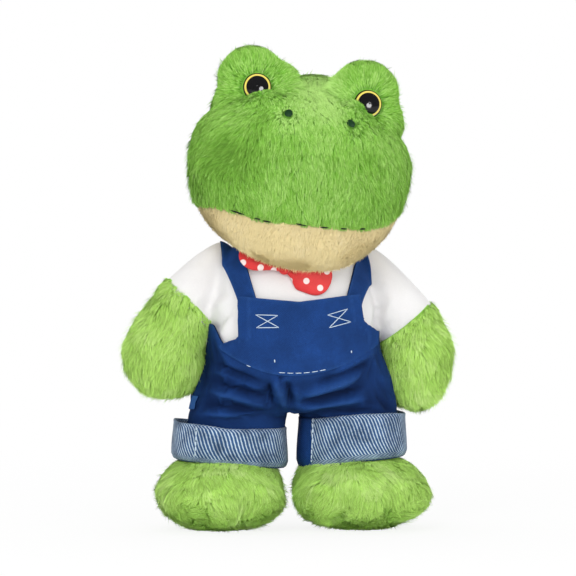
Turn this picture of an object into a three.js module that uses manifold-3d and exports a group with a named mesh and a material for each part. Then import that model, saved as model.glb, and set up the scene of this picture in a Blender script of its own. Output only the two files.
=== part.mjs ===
// Plush frog in dungarees and a spotted bow tie, as a standing soft toy.
// Millimetres, +Z up. The frog faces -Y, so its own left side is at +X.
// The head sits on a ball of stuffing at the neck, the arms swing in the seams
// at the shoulders, and the legs swing at the hips so that the toy can sit.

import * as THREE from "three";
import { mergeVertices } from "three/addons/utils/BufferGeometryUtils.js";
import Module from "manifold-3d";

const wasm = await Module();
wasm.setup();

// Clearances and cloth
const gap = 0.3; // between pieces that lie against each other
const overrun = 30; // how far a cutter reaches past what it cuts
const furCloth = 4.5; // backing and flattened pile
const shirtCloth = 1.6;
const denim = 1.8;

// Neck: the ball that the head turns on
const neckRadius = 20;
const neckHeight = 206;
const neckSetBack = 6;
const headSwing = 69; // radius of the hollow under the head
const headShift = -3; // the head is sewn on a little to one side of the neck
const headRollDeg = 8.5;

// Head: half sizes from its widest level, which is headRise above the neck
const headRise = 49;
const headHalfWidth = 76;
const headHalfDepth = 63.5;
const headCrown = 55; // widest level up to the crown
const headJaw = 76; // widest level down to the chin
const headForward = -22.5; // middle of the head from the neck's axis
const chinForward = -30; // the chin's further lead on the middle
const crownBack = 18;
const mouthDrop = 48; // widest level down to the mouth seam
const mouthCurl = 21; // how far the seam rises at the cheeks

// Eyes
const lobeRadius = 24.5;
const lobeSpread = 40;
const lobeRise = 44;
const lobeForward = -18;
const eyeSpread = 38;
const eyeDrop = 5; // eye centre below the lobe's centre
const eyeRimRadius = 9.7;
const eyeRimThick = 2.4;
const eyeRingRadius = 8.5;
const eyeRingThick = 1.6;
const eyePupilRadius = 6.9;
const eyePupilHeight = 4.6;
const eyeProud = 0.8; // how far the rim's back stands off the lobe's front
const shankRadius = 2.4;
const shankLength = 13;
const washerRadius = 7.5;
const washerThick = 1.6;

// Nostrils: embroidered pads
const nostrilSpread = 20.3;
const nostrilRise = 24.5;
const nostrilHalfWidth = 2.5;
const nostrilHalfHeight = 3.5;
const nostrilHalfDepth = 4;

// Torso: half sizes from its widest level
const torsoWidest = 120;
const torsoHigh = 203;
const torsoLow = 84;
const torsoHalfWidth = 56;
const torsoHalfDepth = 46;

// Arms: each hangs from a flat seam at the side of the torso
const shoulderSeam = 53;
const shoulderHeight = 174;
const shoulderBack = 6;
const armHigh = 195;
const armWidest = 126;
const armLow = 83;
const armHalfWidth = 28;
const armHalfDepth = 24;
const handSpread = 88;
const shoulderDraw = 40; // how far the arm's top leans in to the seam
const handCurl = 2;
const sleeveEnd = 28; // shoulder point to the seam of sleeve and mitt
const sleeveSlantDeg = 42;

// Legs: each swings about a line across the hips
const hipHeight = 77;
const hipRadius = 32.5;
const hipHalfWidth = 68; // across both legs, at the crotch
const waistHalfWidth = 60; // across both legs, where they meet the torso
const crotchHeight = 79;
const legFoot = 47; // height of the hem and of the foot's flat top
const legInner = 4; // half of the gap between the legs
const hemOuter = 75.5;
const hemHalfDepth = 30.5;
const cuffHigh = 72;
const cuffThick = 2.6;
const coreEase = 1.2; // stuffed leg inside the trouser leg

// Feet
const footSpread = 50;
const footHalfWidth = 43;
const footHalfDepth = 45;
const footForward = -10;
const footHigh = 52;
const footWidest = 17;
const toeHalfWidth = 19;
const toeHalfDepth = 25;
const toeHigh = 37;
const toeFan = 27;
const toeForward = -40;
const toeTuck = 9; // the outer toes start further back
const soleFlat = 0.5; // cut off the bottom so that the foot stands

// Overalls
const waistHeight = 134;
const backHeight = 150;
const backHalfWidth = 34;
const bibTop = 157;
const bibDip = 3.5; // how far the bib's top edge sags at the middle
const bibTopHalf = 42;
const bibWaistHalf = 45;
const strapWidth = 11;
const strapLean = 10; // how far a strap moves out on its way up
const strapInner = 32;
const tabSize = 7;
const tabThick = 1.2;
const tabHeight = 86;

// Bow tie
const bowHeight = 175;
const bowShift = -9.5;
const bowRollDeg = 21;
const bowReach = 31;
const bowHalfHeight = 8.5;
const bowThick = 5.5;
const bowPinchShare = 0.5;
const knotWidth = 11;
const knotHeight = 13;

// Counts of faces
const formSides = 26;
const formRings = 11;
const smallSides = 16;
const smallRings = 8;

const degree = Math.PI / 180;

// Manifold helpers
function solidOf(geometry) {
  const plain = geometry.index ? geometry.toNonIndexed() : geometry.clone();
  plain.deleteAttribute("normal");
  plain.deleteAttribute("uv");
  const merged = mergeVertices(plain, gap / 1000);
  const triVerts = new Uint32Array(merged.index.array);
  const vertProperties = merged.attributes.position.array;
  return new wasm.Manifold(new wasm.Mesh({ numProp: 3, vertProperties, triVerts }));
}

function geometryOf(solid) {
  const cut = solid.getMesh();
  const geometry = new THREE.BufferGeometry();
  geometry.setAttribute("position", new THREE.BufferAttribute(new Float32Array(cut.vertProperties), 3));
  geometry.setIndex(new THREE.BufferAttribute(new Uint32Array(cut.triVerts), 1));
  const faceted = geometry.toNonIndexed();
  faceted.computeVertexNormals();
  return faceted;
}

function box(low, high) {
  const size = high.clone().sub(low);
  const middle = high.clone().add(low).multiplyScalar(1 / 2);
  const geometry = new THREE.BoxGeometry(size.x, size.y, size.z);
  return solidOf(geometry.translate(middle.x, middle.y, middle.z));
}

// A round bar along X through a point of the YZ plane
function barAcross(radius, y, z, halfLength) {
  const geometry = new THREE.CylinderGeometry(radius, radius, 2 * halfLength, formSides);
  return solidOf(geometry.rotateZ(Math.PI / 2).translate(0, y, z));
}

// An outline in the XZ plane, pushed from y = near back to y = far
function panelFromFront(points, near, far) {
  const outline = new THREE.Shape(points.map(([x, z]) => new THREE.Vector2(x, z)));
  const depth = far - near;
  const geometry = new THREE.ExtrudeGeometry(outline, { depth, bevelEnabled: false, steps: 1 });
  return solidOf(geometry.rotateX(Math.PI / 2).translate(0, far, 0));
}

// Rings stacked up the height and closed at both ends. Each ring is a rounded oval.
function stack(rings, sides) {
  const points = [];
  const faces = [];
  rings.forEach((ring) => {
    for (let i = 0; i < sides; i++) {
      const turn = (2 * Math.PI * i) / sides;
      const power = 2 / ring.square;
      const across = Math.sign(Math.cos(turn)) * Math.abs(Math.cos(turn)) ** power;
      const along = Math.sign(Math.sin(turn)) * Math.abs(Math.sin(turn)) ** power;
      points.push(ring.x + ring.halfWidth * across, ring.y + ring.halfDepth * along, ring.z);
    }
  });
  for (let k = 0; k + 1 < rings.length; k++) {
    for (let i = 0; i < sides; i++) {
      const j = (i + 1) % sides;
      const [a, b] = [k * sides + i, k * sides + j];
      const [c, d] = [a + sides, b + sides];
      faces.push(a, b, d, a, d, c);
    }
  }
  const [first, last] = [rings[0], rings[rings.length - 1]];
  const under = points.length / 3;
  points.push(first.x, first.y, first.low ?? first.z, last.x, last.y, last.high ?? last.z);
  for (let i = 0; i < sides; i++) {
    const j = (i + 1) % sides;
    const top = (rings.length - 1) * sides;
    faces.push(under, j, i, under + 1, top + i, top + j);
  }
  const geometry = new THREE.BufferGeometry();
  geometry.setAttribute("position", new THREE.Float32BufferAttribute(points, 3));
  geometry.setIndex(faces);
  return solidOf(geometry);
}

// A stuffed form: widest at one level, rounding in to its top and its bottom.
// grow moves the whole surface out, or in where it is negative.
function stuffed(form, grow = 0, sides = formSides, levels = formRings) {
  const rings = [];
  for (let k = 1; k < levels; k++) {
    const climb = -Math.cos((Math.PI * k) / levels);
    const up = climb > 0;
    const far = Math.abs(climb);
    const reach = (up ? form.high - form.widest : form.widest - form.low) + grow;
    const roundness = up ? form.highRound : form.lowRound;
    const share = (1 - far ** roundness) ** (1 / roundness);
    const depthRound = (up ? form.highDepthRound : form.lowDepthRound) ?? roundness;
    const depthShare = (1 - far ** depthRound) ** (1 / depthRound);
    const lean = far ** (form.leanPower ?? 2);
    const [leanX, leanY] = (up ? form.highLean : form.lowLean) ?? [0, 0];
    rings.push({
      x: form.x + leanX * lean,
      y: form.y + leanY * lean,
      z: form.widest + climb * reach,
      halfWidth: (form.halfWidth + grow) * share,
      halfDepth: (form.halfDepth + grow) * depthShare,
      square: form.square ?? 2,
    });
  }
  rings[0].low = form.low - grow;
  rings[rings.length - 1].high = form.high + grow;
  return stack(rings, sides);
}

// The forms, each in the toy's own frame except the head, whose origin is the neck ball
const headForm = {
  x: headShift,
  y: headForward,
  widest: headRise,
  high: headRise + headCrown,
  low: headRise - headJaw,
  halfWidth: headHalfWidth,
  halfDepth: headHalfDepth,
  highRound: 1.85,
  highDepthRound: 1.5,
  lowRound: 2.6,
  lowDepthRound: 2.3,
  lowLean: [0, chinForward],
  highLean: [0, crownBack],
  leanPower: 2.6,
  square: 2.25,
};
const torsoForm = {
  x: 0,
  y: 0,
  widest: torsoWidest,
  high: torsoHigh,
  low: torsoLow,
  halfWidth: torsoHalfWidth,
  halfDepth: torsoHalfDepth,
  highRound: 2.6,
  lowRound: 2.4,
  highDepthRound: 2.1,
  square: 2.3,
};

function armForm(side) {
  return {
    x: side * handSpread,
    y: shoulderBack,
    widest: armWidest,
    high: armHigh,
    low: armLow,
    halfWidth: armHalfWidth,
    halfDepth: armHalfDepth,
    highRound: 1.75,
    lowRound: 2,
    highLean: [-side * shoulderDraw, 0],
    lowLean: [-side * handCurl, 0],
    leanPower: 1.35,
  };
}

// Neck
const neckBall = (radius) => solidOf(new THREE.SphereGeometry(radius, smallSides, smallRings + 2));
const neckPlace = [0, neckSetBack, neckHeight];

// The seats of the ball are this wide so that their flats clear its corners as it turns
const neckSeatRadius = (neckRadius + gap) / Math.cos(Math.PI / smallSides);

// The hollow under the head that lets it turn and tilt over the shoulders
function swingHollow() {
  const half = new THREE.SphereGeometry(headSwing, formSides, formRings);
  const below = box(
    new THREE.Vector3(-headSwing - overrun, -headSwing - overrun, -headSwing - overrun),
    new THREE.Vector3(headSwing + overrun, headSwing + overrun, 0),
  );
  return solidOf(half).intersect(below);
}

// The space below the mouth seam, which curls up at the cheeks
function belowMouth(shift) {
  const steps = 14;
  const wide = headHalfWidth + overrun;
  const seam = [];
  for (let i = 0; i <= steps; i++) {
    const across = (2 * i) / steps - 1;
    const rise = mouthCurl * Math.min(1, Math.abs(across * wide) / headHalfWidth) ** 2.6;
    seam.push([headShift + across * wide, headRise - mouthDrop + rise + shift]);
  }
  const floor = headRise - headJaw - overrun;
  const outline = [[headShift - wide, floor], [headShift + wide, floor], ...seam.reverse()];
  return panelFromFront(outline, -headHalfDepth * 2, headHalfDepth * 2);
}

// Eye: rim with its shank, yellow ring, black dome and the washer that holds it
function lathed(points) {
  const profile = points.map(([radius, height]) => new THREE.Vector2(radius, height));
  return solidOf(new THREE.LatheGeometry(profile, smallSides).rotateX(Math.PI));
}

function eyeRim() {
  return lathed([
    [0, -shankLength],
    [shankRadius, -shankLength],
    [shankRadius, 0],
    [eyeRimRadius - eyeRimThick / 4, 0],
    [eyeRimRadius, eyeRimThick / 3],
    [eyeRimRadius - eyeRimThick / 4, eyeRimThick],
    [0, eyeRimThick],
    [0, -shankLength],
  ]);
}

function eyeRing() {
  const base = eyeRimThick + gap;
  return lathed([
    [eyePupilRadius + gap, base],
    [eyeRingRadius, base],
    [eyeRingRadius, base + eyeRingThick / 2],
    [eyePupilRadius + gap, base + eyeRingThick],
    [eyePupilRadius + gap, base],
  ]);
}

function eyePupil() {
  const base = eyeRimThick + gap;
  const steps = 6;
  const points = [[0, base], [eyePupilRadius, base]];
  for (let i = 1; i <= steps; i++) {
    const climb = (Math.PI / 2) * (i / steps);
    const radius = i < steps ? eyePupilRadius * Math.cos(climb) : 0;
    points.push([radius, base + eyePupilHeight * Math.sin(climb)]);
  }
  points.push([0, base]);
  return lathed(points);
}

function washer(grow) {
  const [inner, outer] = [shankRadius + gap - Math.min(grow, gap), washerRadius + grow];
  const [low, high] = [-shankLength + eyeRimThick - grow, -shankLength + eyeRimThick + washerThick + grow];
  return lathed([[inner, low], [outer, low], [outer, high], [inner, high], [inner, low]]);
}

// The front of the lobe at the eye's level, where the rim sits
const eyeFront = lobeForward - Math.sqrt(lobeRadius ** 2 - eyeDrop ** 2) - eyeProud;
const eyePlace = (side) => [headShift + side * eyeSpread, eyeFront, headRise + lobeRise - eyeDrop];
const lobePlace = (side) => [headShift + side * lobeSpread, lobeForward, headRise + lobeRise];

// What the eye needs inside its lobe: a bore for the shank and a pocket for the washer
function eyePocket(side) {
  const boreRadius = shankRadius + gap;
  const bore = new THREE.CylinderGeometry(boreRadius, boreRadius, shankLength + 2 * gap, smallSides);
  const way = solidOf(bore.translate(0, shankLength / 2, 0));
  const face = new THREE.CylinderGeometry(eyeRimRadius + gap, eyeRimRadius + gap, overrun, smallSides);
  const seat = solidOf(face.translate(0, -overrun / 2 + gap, 0));
  return way.add(washer(gap)).add(seat).translate(eyePlace(side));
}

function eyeLobe(side, headSkinOuter) {
  const ball = solidOf(new THREE.SphereGeometry(lobeRadius, smallSides, smallRings + 4));
  return ball.translate(lobePlace(side)).subtract(headSkinOuter).subtract(eyePocket(side));
}

// Head: green skin above the mouth seam, cream skin below it, stuffing within
const hollow = swingHollow();
const headOuter = stuffed(headForm);
const headInner = stuffed(headForm, -furCloth);
const headHeart = stuffed(headForm, -furCloth - gap);
const neckSeat = neckBall(neckSeatRadius);
const eyePockets = eyePocket(1).add(eyePocket(-1));
const headShell = headOuter.subtract(headInner).subtract(hollow).subtract(neckSeat).subtract(eyePockets);

function nostril(side) {
  const pad = new THREE.SphereGeometry(1, smallSides / 2, smallRings);
  pad.scale(nostrilHalfWidth, nostrilHalfDepth, nostrilHalfHeight);
  const level = nostrilRise / headCrown;
  const lean = crownBack * level ** headForm.leanPower;
  const deep = headHalfDepth * (1 - level ** headForm.highRound) ** (1 / headForm.highRound);
  const across = 1 - (nostrilSpread / headHalfWidth) ** headForm.square;
  const front = headForward + lean - deep * across ** (1 / headForm.square);
  const place = [headShift + side * nostrilSpread, front + nostrilHalfDepth / 3, headRise + nostrilRise];
  return solidOf(pad).translate(place).subtract(stuffed(headForm, gap));
}

// Torso: white skin over stuffing, cut for the arms, the legs and the neck
function legSweep(radius) {
  const wide = hipHalfWidth + overrun;
  const round = barAcross(radius, 0, hipHeight, wide);
  const front = box(
    new THREE.Vector3(-wide, -torsoHalfDepth - overrun, -overrun),
    new THREE.Vector3(wide, 0, hipHeight + radius),
  );
  const below = box(
    new THREE.Vector3(-wide, -radius, -overrun),
    new THREE.Vector3(wide, radius, hipHeight),
  );
  return round.add(front).add(below);
}

function besideArms(clear) {
  const wide = torsoHalfWidth + overrun;
  const parts = [-1, 1].map((side) => {
    const [near, far] = [side * (shoulderSeam - clear), side * wide];
    return box(
      new THREE.Vector3(Math.min(near, far), -torsoHalfDepth - overrun, waistHeight),
      new THREE.Vector3(Math.max(near, far), torsoHalfDepth + overrun, torsoHigh + overrun),
    );
  });
  return parts[0].add(parts[1]);
}

const torsoCut = legSweep(hipRadius + 2 * gap)
  .add(besideArms(gap))
  .add(neckBall(neckSeatRadius).translate(neckPlace));
const torsoOuter = stuffed(torsoForm);
const torsoInner = stuffed(torsoForm, -shirtCloth);
const torsoSkin = torsoOuter.subtract(torsoInner).subtract(torsoCut);
const torsoHeart = stuffed(torsoForm, -shirtCloth - gap).subtract(torsoCut);

// Overalls on the torso: a layer of denim just outside the skin
const overLow = stuffed(torsoForm, gap);
const overHigh = stuffed(torsoForm, gap + denim);
const overLayer = overHigh.subtract(overLow).subtract(torsoCut);

function bibOutline(grow) {
  return [
    [-bibTopHalf - grow, bibTop + grow],
    [-bibWaistHalf - grow, waistHeight],
    [-bibWaistHalf - grow, hipHeight],
    [bibWaistHalf + grow, hipHeight],
    [bibWaistHalf + grow, waistHeight],
    [bibTopHalf + grow, bibTop + grow],
    [bibTopHalf / 2, bibTop - (bibDip * 3) / 4 + grow],
    [0, bibTop - bibDip + grow],
    [-bibTopHalf / 2, bibTop - (bibDip * 3) / 4 + grow],
  ];
}

const bib = overLayer.intersect(panelFromFront(bibOutline(0).reverse(), -torsoHalfDepth - overrun, 0));

function seat() {
  const wide = torsoHalfWidth + overrun;
  const outline = [
    [-wide, 0],
    [wide, 0],
    [wide, waistHeight],
    [backHalfWidth, backHeight],
    [-backHalfWidth, backHeight],
    [-wide, waistHeight],
  ];
  const deep = torsoHalfDepth + overrun;
  const front = box(
    new THREE.Vector3(-wide, -deep, 0),
    new THREE.Vector3(wide, 0, waistHeight),
  );
  const behind = panelFromFront(outline, 0, deep);
  const bibSpace = panelFromFront(bibOutline(gap).reverse(), -deep, gap);
  return overLayer.intersect(front.add(behind)).subtract(bibSpace);
}

function strap(side) {
  const lower = [side * strapInner, side * (strapInner + strapWidth)];
  const upper = lower.map((x) => x + side * strapLean);
  const start = backHeight + gap;
  const outline = [
    [lower[0], start],
    [lower[1], start],
    [upper[1], torsoHigh],
    [upper[0], torsoHigh],
  ];
  if (side < 0) outline.reverse();
  const deep = torsoHalfDepth + overrun;
  const band = panelFromFront(outline, -deep, deep);
  const bibSpace = panelFromFront(bibOutline(gap).reverse(), -deep, 0);
  return overLayer.intersect(band).subtract(bibSpace);
}

// Bow tie, drawn level and then rolled to the angle at which it hangs
function bowLobe(side) {
  const pinch = bowHalfHeight * bowPinchShare;
  const start = knotWidth / 2 + gap;
  const outline = new THREE.Shape();
  outline.moveTo(start, -pinch);
  outline.quadraticCurveTo(bowReach / 2, -pinch, bowReach - bowThick / 2, -bowHalfHeight);
  outline.quadraticCurveTo(bowReach, 0, bowReach - bowThick / 2, bowHalfHeight);
  outline.quadraticCurveTo(bowReach / 2, pinch, start, pinch);
  const bevel = bowThick / 3;
  const geometry = new THREE.ExtrudeGeometry(outline, {
    depth: bowThick - 2 * bevel,
    bevelThickness: bevel,
    bevelSize: bevel,
    bevelOffset: -bevel,
    bevelSegments: 2,
    curveSegments: 6,
  });
  geometry.rotateX(Math.PI / 2).translate(0, bowThick - bevel, 0);
  if (side < 0) geometry.rotateY(Math.PI);
  if (side < 0) geometry.translate(0, bowThick, 0);
  return solidOf(geometry);
}

function bowKnot() {
  const geometry = new THREE.SphereGeometry(1, smallSides, smallRings);
  geometry.scale(knotWidth / 2, bowThick * 0.62, knotHeight / 2);
  return solidOf(geometry.translate(0, bowThick / 2, 0));
}

const bowClimb = (bowHeight - bowHalfHeight - torsoWidest) / (torsoHigh - torsoWidest);
const bowFront = -torsoHalfDepth * Math.sqrt(1 - bowClimb ** 2);
const bowPlace = [bowShift, bowFront - bowThick - gap, bowHeight];

function bowPiece(solid) {
  return solid.rotate([0, bowRollDeg, 0]).translate(bowPlace).subtract(stuffed(torsoForm, gap));
}

// Arms: white sleeve, green mitt and the stuffing of both
function pastSeam(side, shift) {
  const size = 2 * (handSpread + overrun);
  const geometry = new THREE.BoxGeometry(size, size, size);
  geometry.translate(0, 0, -size / 2 + shift);
  geometry.rotateY(-side * sleeveSlantDeg * degree);
  const along = sleeveSlantDeg * degree;
  const x = side * (shoulderSeam + sleeveEnd * Math.sin(along));
  return solidOf(geometry.translate(x, 0, shoulderHeight - sleeveEnd * Math.cos(along)));
}

function outsideShoulder(side) {
  const [near, far] = [side * shoulderSeam, side * (handSpread + armHalfWidth + overrun)];
  return box(
    new THREE.Vector3(Math.min(near, far), -armHalfDepth - overrun, armLow - overrun),
    new THREE.Vector3(Math.max(near, far), armHalfDepth + overrun, armHigh + overrun),
  );
}

function arm(side) {
  const form = armForm(side);
  const outer = stuffed(form, 0, smallSides + 4, smallRings + 2);
  const room = outsideShoulder(side);
  const sleeveHeart = stuffed(form, -shirtCloth, smallSides + 4, smallRings + 2);
  const mittHeart = stuffed(form, -furCloth, smallSides + 4, smallRings + 2);
  const heart = stuffed(form, -furCloth - gap, smallSides + 4, smallRings + 2);
  return {
    sleeve: outer.intersect(room).subtract(sleeveHeart).subtract(pastSeam(side, gap)),
    mitt: outer.intersect(pastSeam(side, 0)).intersect(room).subtract(mittHeart),
    stuffing: heart.intersect(room),
  };
}

// Legs: a tube up to the crotch and half of the hips above it, round about the hip line
function legForm(side, grow) {
  const [inner, outer] = [legInner, hemOuter];
  const middle = (inner + outer) / 2;
  const halfWidth = (outer - inner) / 2;
  const top = hipHeight + hipRadius;
  const taper = (outer - hipHalfWidth) / 4;
  const aboveTop = ((hipHalfWidth - waistHalfWidth) * overrun) / hipRadius;
  const tube = [
    { z: legFoot, x: middle, halfWidth },
    { z: cuffHigh, x: middle - taper, halfWidth: halfWidth - taper },
    { z: (crotchHeight + top) / 2, x: hipHalfWidth / 2, halfWidth: hipHalfWidth / 2 - legInner },
  ];
  const hips = [
    { z: crotchHeight - Math.min(grow, 0), x: 0, halfWidth: hipHalfWidth },
    { z: top + overrun, x: 0, halfWidth: waistHalfWidth - aboveTop },
  ];
  const grown = (rings, square) =>
    rings.map((ring) => ({
      z: ring.z,
      x: side * ring.x,
      y: 0,
      halfWidth: ring.halfWidth + grow,
      halfDepth: (ring.z > legFoot ? hipRadius : hemHalfDepth) + grow,
      square,
    }));
  const tubeRings = grown(tube, 2.4);
  if (grow < 0) tubeRings[0].z -= overrun;
  const far = hipHalfWidth + overrun;
  const apart = 2 * gap - Math.min(grow, 0);
  const half = box(
    new THREE.Vector3(side > 0 ? apart : -far, -far, crotchHeight - overrun),
    new THREE.Vector3(side > 0 ? far : -apart, far, neckHeight),
  );
  return stack(tubeRings, formSides).add(stack(grown(hips, 2.6), formSides).intersect(half));
}

function leg(side) {
  const far = hipHalfWidth + overrun;
  const below = (z) => box(new THREE.Vector3(-far, -far, -far), new THREE.Vector3(far, far, z));
  const round = (radius) => barAcross(radius, 0, hipHeight, far).add(below(hipHeight));
  const outer = legForm(side, 0).intersect(round(hipRadius));
  const inner = legForm(side, -denim).intersect(round(hipRadius - denim));
  const ease = denim + coreEase;
  const core = legForm(side, -ease).intersect(round(hipRadius - ease)).subtract(below(legFoot));
  const band = legForm(side, gap + cuffThick).intersect(below(cuffHigh)).subtract(below(legFoot));
  return {
    trouser: outer.subtract(inner),
    core,
    cuff: band.subtract(legForm(side, gap)),
  };
}

// Feet: a wide pad with three toes in a fan
function foot(side) {
  const pad = {
    x: side * footSpread,
    y: footForward,
    widest: footWidest,
    high: footHigh,
    low: -soleFlat,
    halfWidth: footHalfWidth,
    halfDepth: footHalfDepth,
    highRound: 2.1,
    lowRound: 3,
    highLean: [-side * (footSpread - (legInner + hemOuter) / 2), -footForward],
    square: 2.2,
  };
  let solid = stuffed(pad, 0, smallSides + 4, smallRings);
  [-1, 0, 1].forEach((place) => {
    const toe = {
      x: side * footSpread + place * toeFan,
      y: toeForward + Math.abs(place) * toeTuck,
      widest: toeHigh / 2.4,
      high: toeHigh,
      low: -soleFlat,
      halfWidth: toeHalfWidth,
      halfDepth: toeHalfDepth,
      highRound: 2,
      lowRound: 2.6,
    };
    solid = solid.add(stuffed(toe, 0, smallSides - 4, smallRings - 2));
  });
  const reach = footSpread + footHalfWidth + toeFan;
  const room = box(
    new THREE.Vector3(side > 0 ? gap : -reach, -reach, 0),
    new THREE.Vector3(side > 0 ? reach : -gap, reach, legFoot - gap),
  );
  return solid.intersect(room);
}

// A plain tab sewn into the side seam of the right trouser leg
function sideTab() {
  const low = new THREE.Vector3(-hipHalfWidth - overrun, -tabSize / 2, tabHeight - tabSize / 2);
  const high = new THREE.Vector3(-hipHalfWidth / 2, tabSize / 2, tabHeight + tabSize / 2);
  return legForm(-1, gap + tabThick).intersect(box(low, high)).subtract(legForm(-1, gap));
}

// Materials
const looks = {
  greenFur: { color: 0x6fb83f, roughness: 0.95 },
  creamFur: { color: 0xf2dd9e, roughness: 0.95 },
  whiteCloth: { color: 0xeeecec, roughness: 0.9 },
  stuffing: { color: 0xf6f6f2, roughness: 1 },
  denimBlue: { color: 0x1a3a72, roughness: 0.85 },
  denimPale: { color: 0x5d7fa6, roughness: 0.9 },
  redCotton: { color: 0xe2383a, roughness: 0.8 },
  darkThread: { color: 0x0b4012, roughness: 0.7 },
  blackPlastic: { color: 0x0b0b0c, roughness: 0.12 },
  yellowPlastic: { color: 0xe8cf4e, roughness: 0.3 },
};

function piece(name, look, solid) {
  const material = new THREE.MeshStandardMaterial({ ...looks[look], metalness: 0 });
  const mesh = new THREE.Mesh(geometryOf(solid), material);
  mesh.name = name;
  return mesh;
}

function eye(side, name) {
  const group = new THREE.Group();
  group.position.set(...eyePlace(side));
  group.add(
    piece(name + "_eye_rim", "blackPlastic", eyeRim()),
    piece(name + "_eye_ring", "yellowPlastic", eyeRing()),
    piece(name + "_eye_pupil", "blackPlastic", eyePupil()),
    piece(name + "_eye_washer", "blackPlastic", washer(0)),
  );
  return group;
}

function headGroup() {
  const group = new THREE.Group();
  group.position.set(...neckPlace);
  group.rotation.y = headRollDeg * degree;
  const above = headShell.subtract(belowMouth(gap / 2));
  const below = headShell.intersect(belowMouth(-gap / 2));
  const body = headHeart.subtract(hollow).subtract(neckSeat).subtract(eyePockets);
  const lobeSeat = stuffed(headForm, gap);
  group.add(
    piece("head_skin", "greenFur", above),
    piece("chin_skin", "creamFur", below),
    piece("head_stuffing", "stuffing", body),
  );
  [[1, "left"], [-1, "right"]].forEach(([side, name]) => {
    group.add(
      piece(name + "_eye_lobe", "greenFur", eyeLobe(side, lobeSeat)),
      piece(name + "_nostril", "darkThread", nostril(side)),
      eye(side, name),
    );
  });
  return group;
}

function neckGroup() {
  const group = new THREE.Group();
  group.position.set(...neckPlace);
  group.add(piece("neck", "whiteCloth", neckBall(neckRadius)));
  return group;
}

function torsoGroup() {
  const group = new THREE.Group();
  group.add(
    piece("torso_skin", "whiteCloth", torsoSkin),
    piece("torso_stuffing", "stuffing", torsoHeart),
    piece("bib", "denimBlue", bib),
    piece("overalls_seat", "denimBlue", seat()),
    piece("left_strap", "denimBlue", strap(1)),
    piece("right_strap", "denimBlue", strap(-1)),
    piece("left_bow_loop", "redCotton", bowPiece(bowLobe(1))),
    piece("right_bow_loop", "redCotton", bowPiece(bowLobe(-1))),
    piece("bow_knot", "redCotton", bowPiece(bowKnot())),
  );
  return group;
}

function limbGroup(side, name) {
  const group = new THREE.Group();
  const { sleeve, mitt, stuffing } = arm(side);
  const { trouser, core, cuff } = leg(side);
  group.add(
    piece(name + "_sleeve", "whiteCloth", sleeve),
    piece(name + "_mitt", "greenFur", mitt),
    piece(name + "_arm_stuffing", "stuffing", stuffing),
    piece(name + "_trouser_leg", "denimBlue", trouser),
    piece(name + "_leg", "whiteCloth", core),
    piece(name + "_cuff", "denimPale", cuff),
    piece(name + "_foot", "greenFur", foot(side)),
  );
  return group;
}

const frog = new THREE.Group();
frog.add(headGroup(), neckGroup(), torsoGroup(), limbGroup(1, "left"), limbGroup(-1, "right"));
frog.add(piece("side_tab", "denimPale", sideTab()));

// The origin is the middle of the footprint, on the floor
const extent = new THREE.Box3().setFromObject(frog);
const middle = extent.getCenter(new THREE.Vector3());
frog.position.set(-middle.x, -middle.y, -extent.min.z);

export default frog;
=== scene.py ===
"""Plush frog in dungarees: skins, fur, cloth, stitching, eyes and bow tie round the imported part.

Metres, +Z up, the frog faces -Y and its own left side is at +X. Forms are written in millimetres
as the part's own source has them and are turned into metres where a mesh is made.
"""

import math

import bpy
import numpy as np
from mathutils import Matrix, Vector
from mathutils.bvhtree import BVHTree
from mathutils.kdtree import KDTree


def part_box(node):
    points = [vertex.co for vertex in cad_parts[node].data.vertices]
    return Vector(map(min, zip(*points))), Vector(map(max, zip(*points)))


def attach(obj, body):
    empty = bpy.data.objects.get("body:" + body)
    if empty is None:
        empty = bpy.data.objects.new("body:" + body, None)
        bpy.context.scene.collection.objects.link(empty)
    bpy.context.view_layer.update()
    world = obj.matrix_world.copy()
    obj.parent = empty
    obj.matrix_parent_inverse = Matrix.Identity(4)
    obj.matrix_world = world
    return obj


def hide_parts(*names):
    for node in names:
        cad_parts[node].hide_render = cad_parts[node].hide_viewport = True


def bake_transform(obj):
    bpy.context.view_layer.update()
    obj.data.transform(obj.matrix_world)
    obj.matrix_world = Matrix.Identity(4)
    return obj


bl_info = {
    "name": "Plush Frog",
    "version": (1, 0, 0),
    "blender": (4, 5, 0),
    "location": "View3D > Sidebar > Frog",
    "description": "Builds a plush frog in dungarees with fur, cloth, stitching and a bow tie",
    "category": "Object",
}

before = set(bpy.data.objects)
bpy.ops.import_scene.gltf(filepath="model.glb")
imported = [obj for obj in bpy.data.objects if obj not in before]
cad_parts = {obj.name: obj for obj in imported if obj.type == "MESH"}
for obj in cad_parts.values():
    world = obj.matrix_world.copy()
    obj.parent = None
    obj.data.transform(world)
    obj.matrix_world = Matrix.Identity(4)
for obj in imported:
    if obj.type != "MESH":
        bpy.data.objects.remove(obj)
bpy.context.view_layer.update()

MM = 0.001
SIDES = {"left": 1, "right": -1}
neck_low, neck_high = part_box("neck")
NECK = (neck_low + neck_high) / 2
NECK_SET_BACK = 6
TOY = np.array([0.0, NECK.y - NECK_SET_BACK * MM, 0.0])  # the toy's own origin
HEAD_ROLL = math.radians(8.5)
HEAD_SHIFT = -3
HEAD_AT = Matrix.Translation(NECK) @ Matrix.Rotation(HEAD_ROLL, 4, "Y")
HEAD_TURN, HEAD_PLACE = np.array(HEAD_AT)[:3, :3], np.array(HEAD_AT)[:3, 3]

# The photograph's frame, for what is placed by its pixels
PHOTO_SIDE = 576
PIXEL = 0.68 * MM
VIEW_AZIMUTH = -5.5
VIEW_RISE = 1.5
VIEW_FAR = 2.5
VIEW_AIM = Vector((-3.2 * MM, TOY[1], 163.2 * MM))
SENSOR = 36.0


# Settings a user would change


def length(name, about, value):
    return bpy.props.FloatProperty(name=name, description=about, default=value, min=0, unit="LENGTH")


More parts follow.
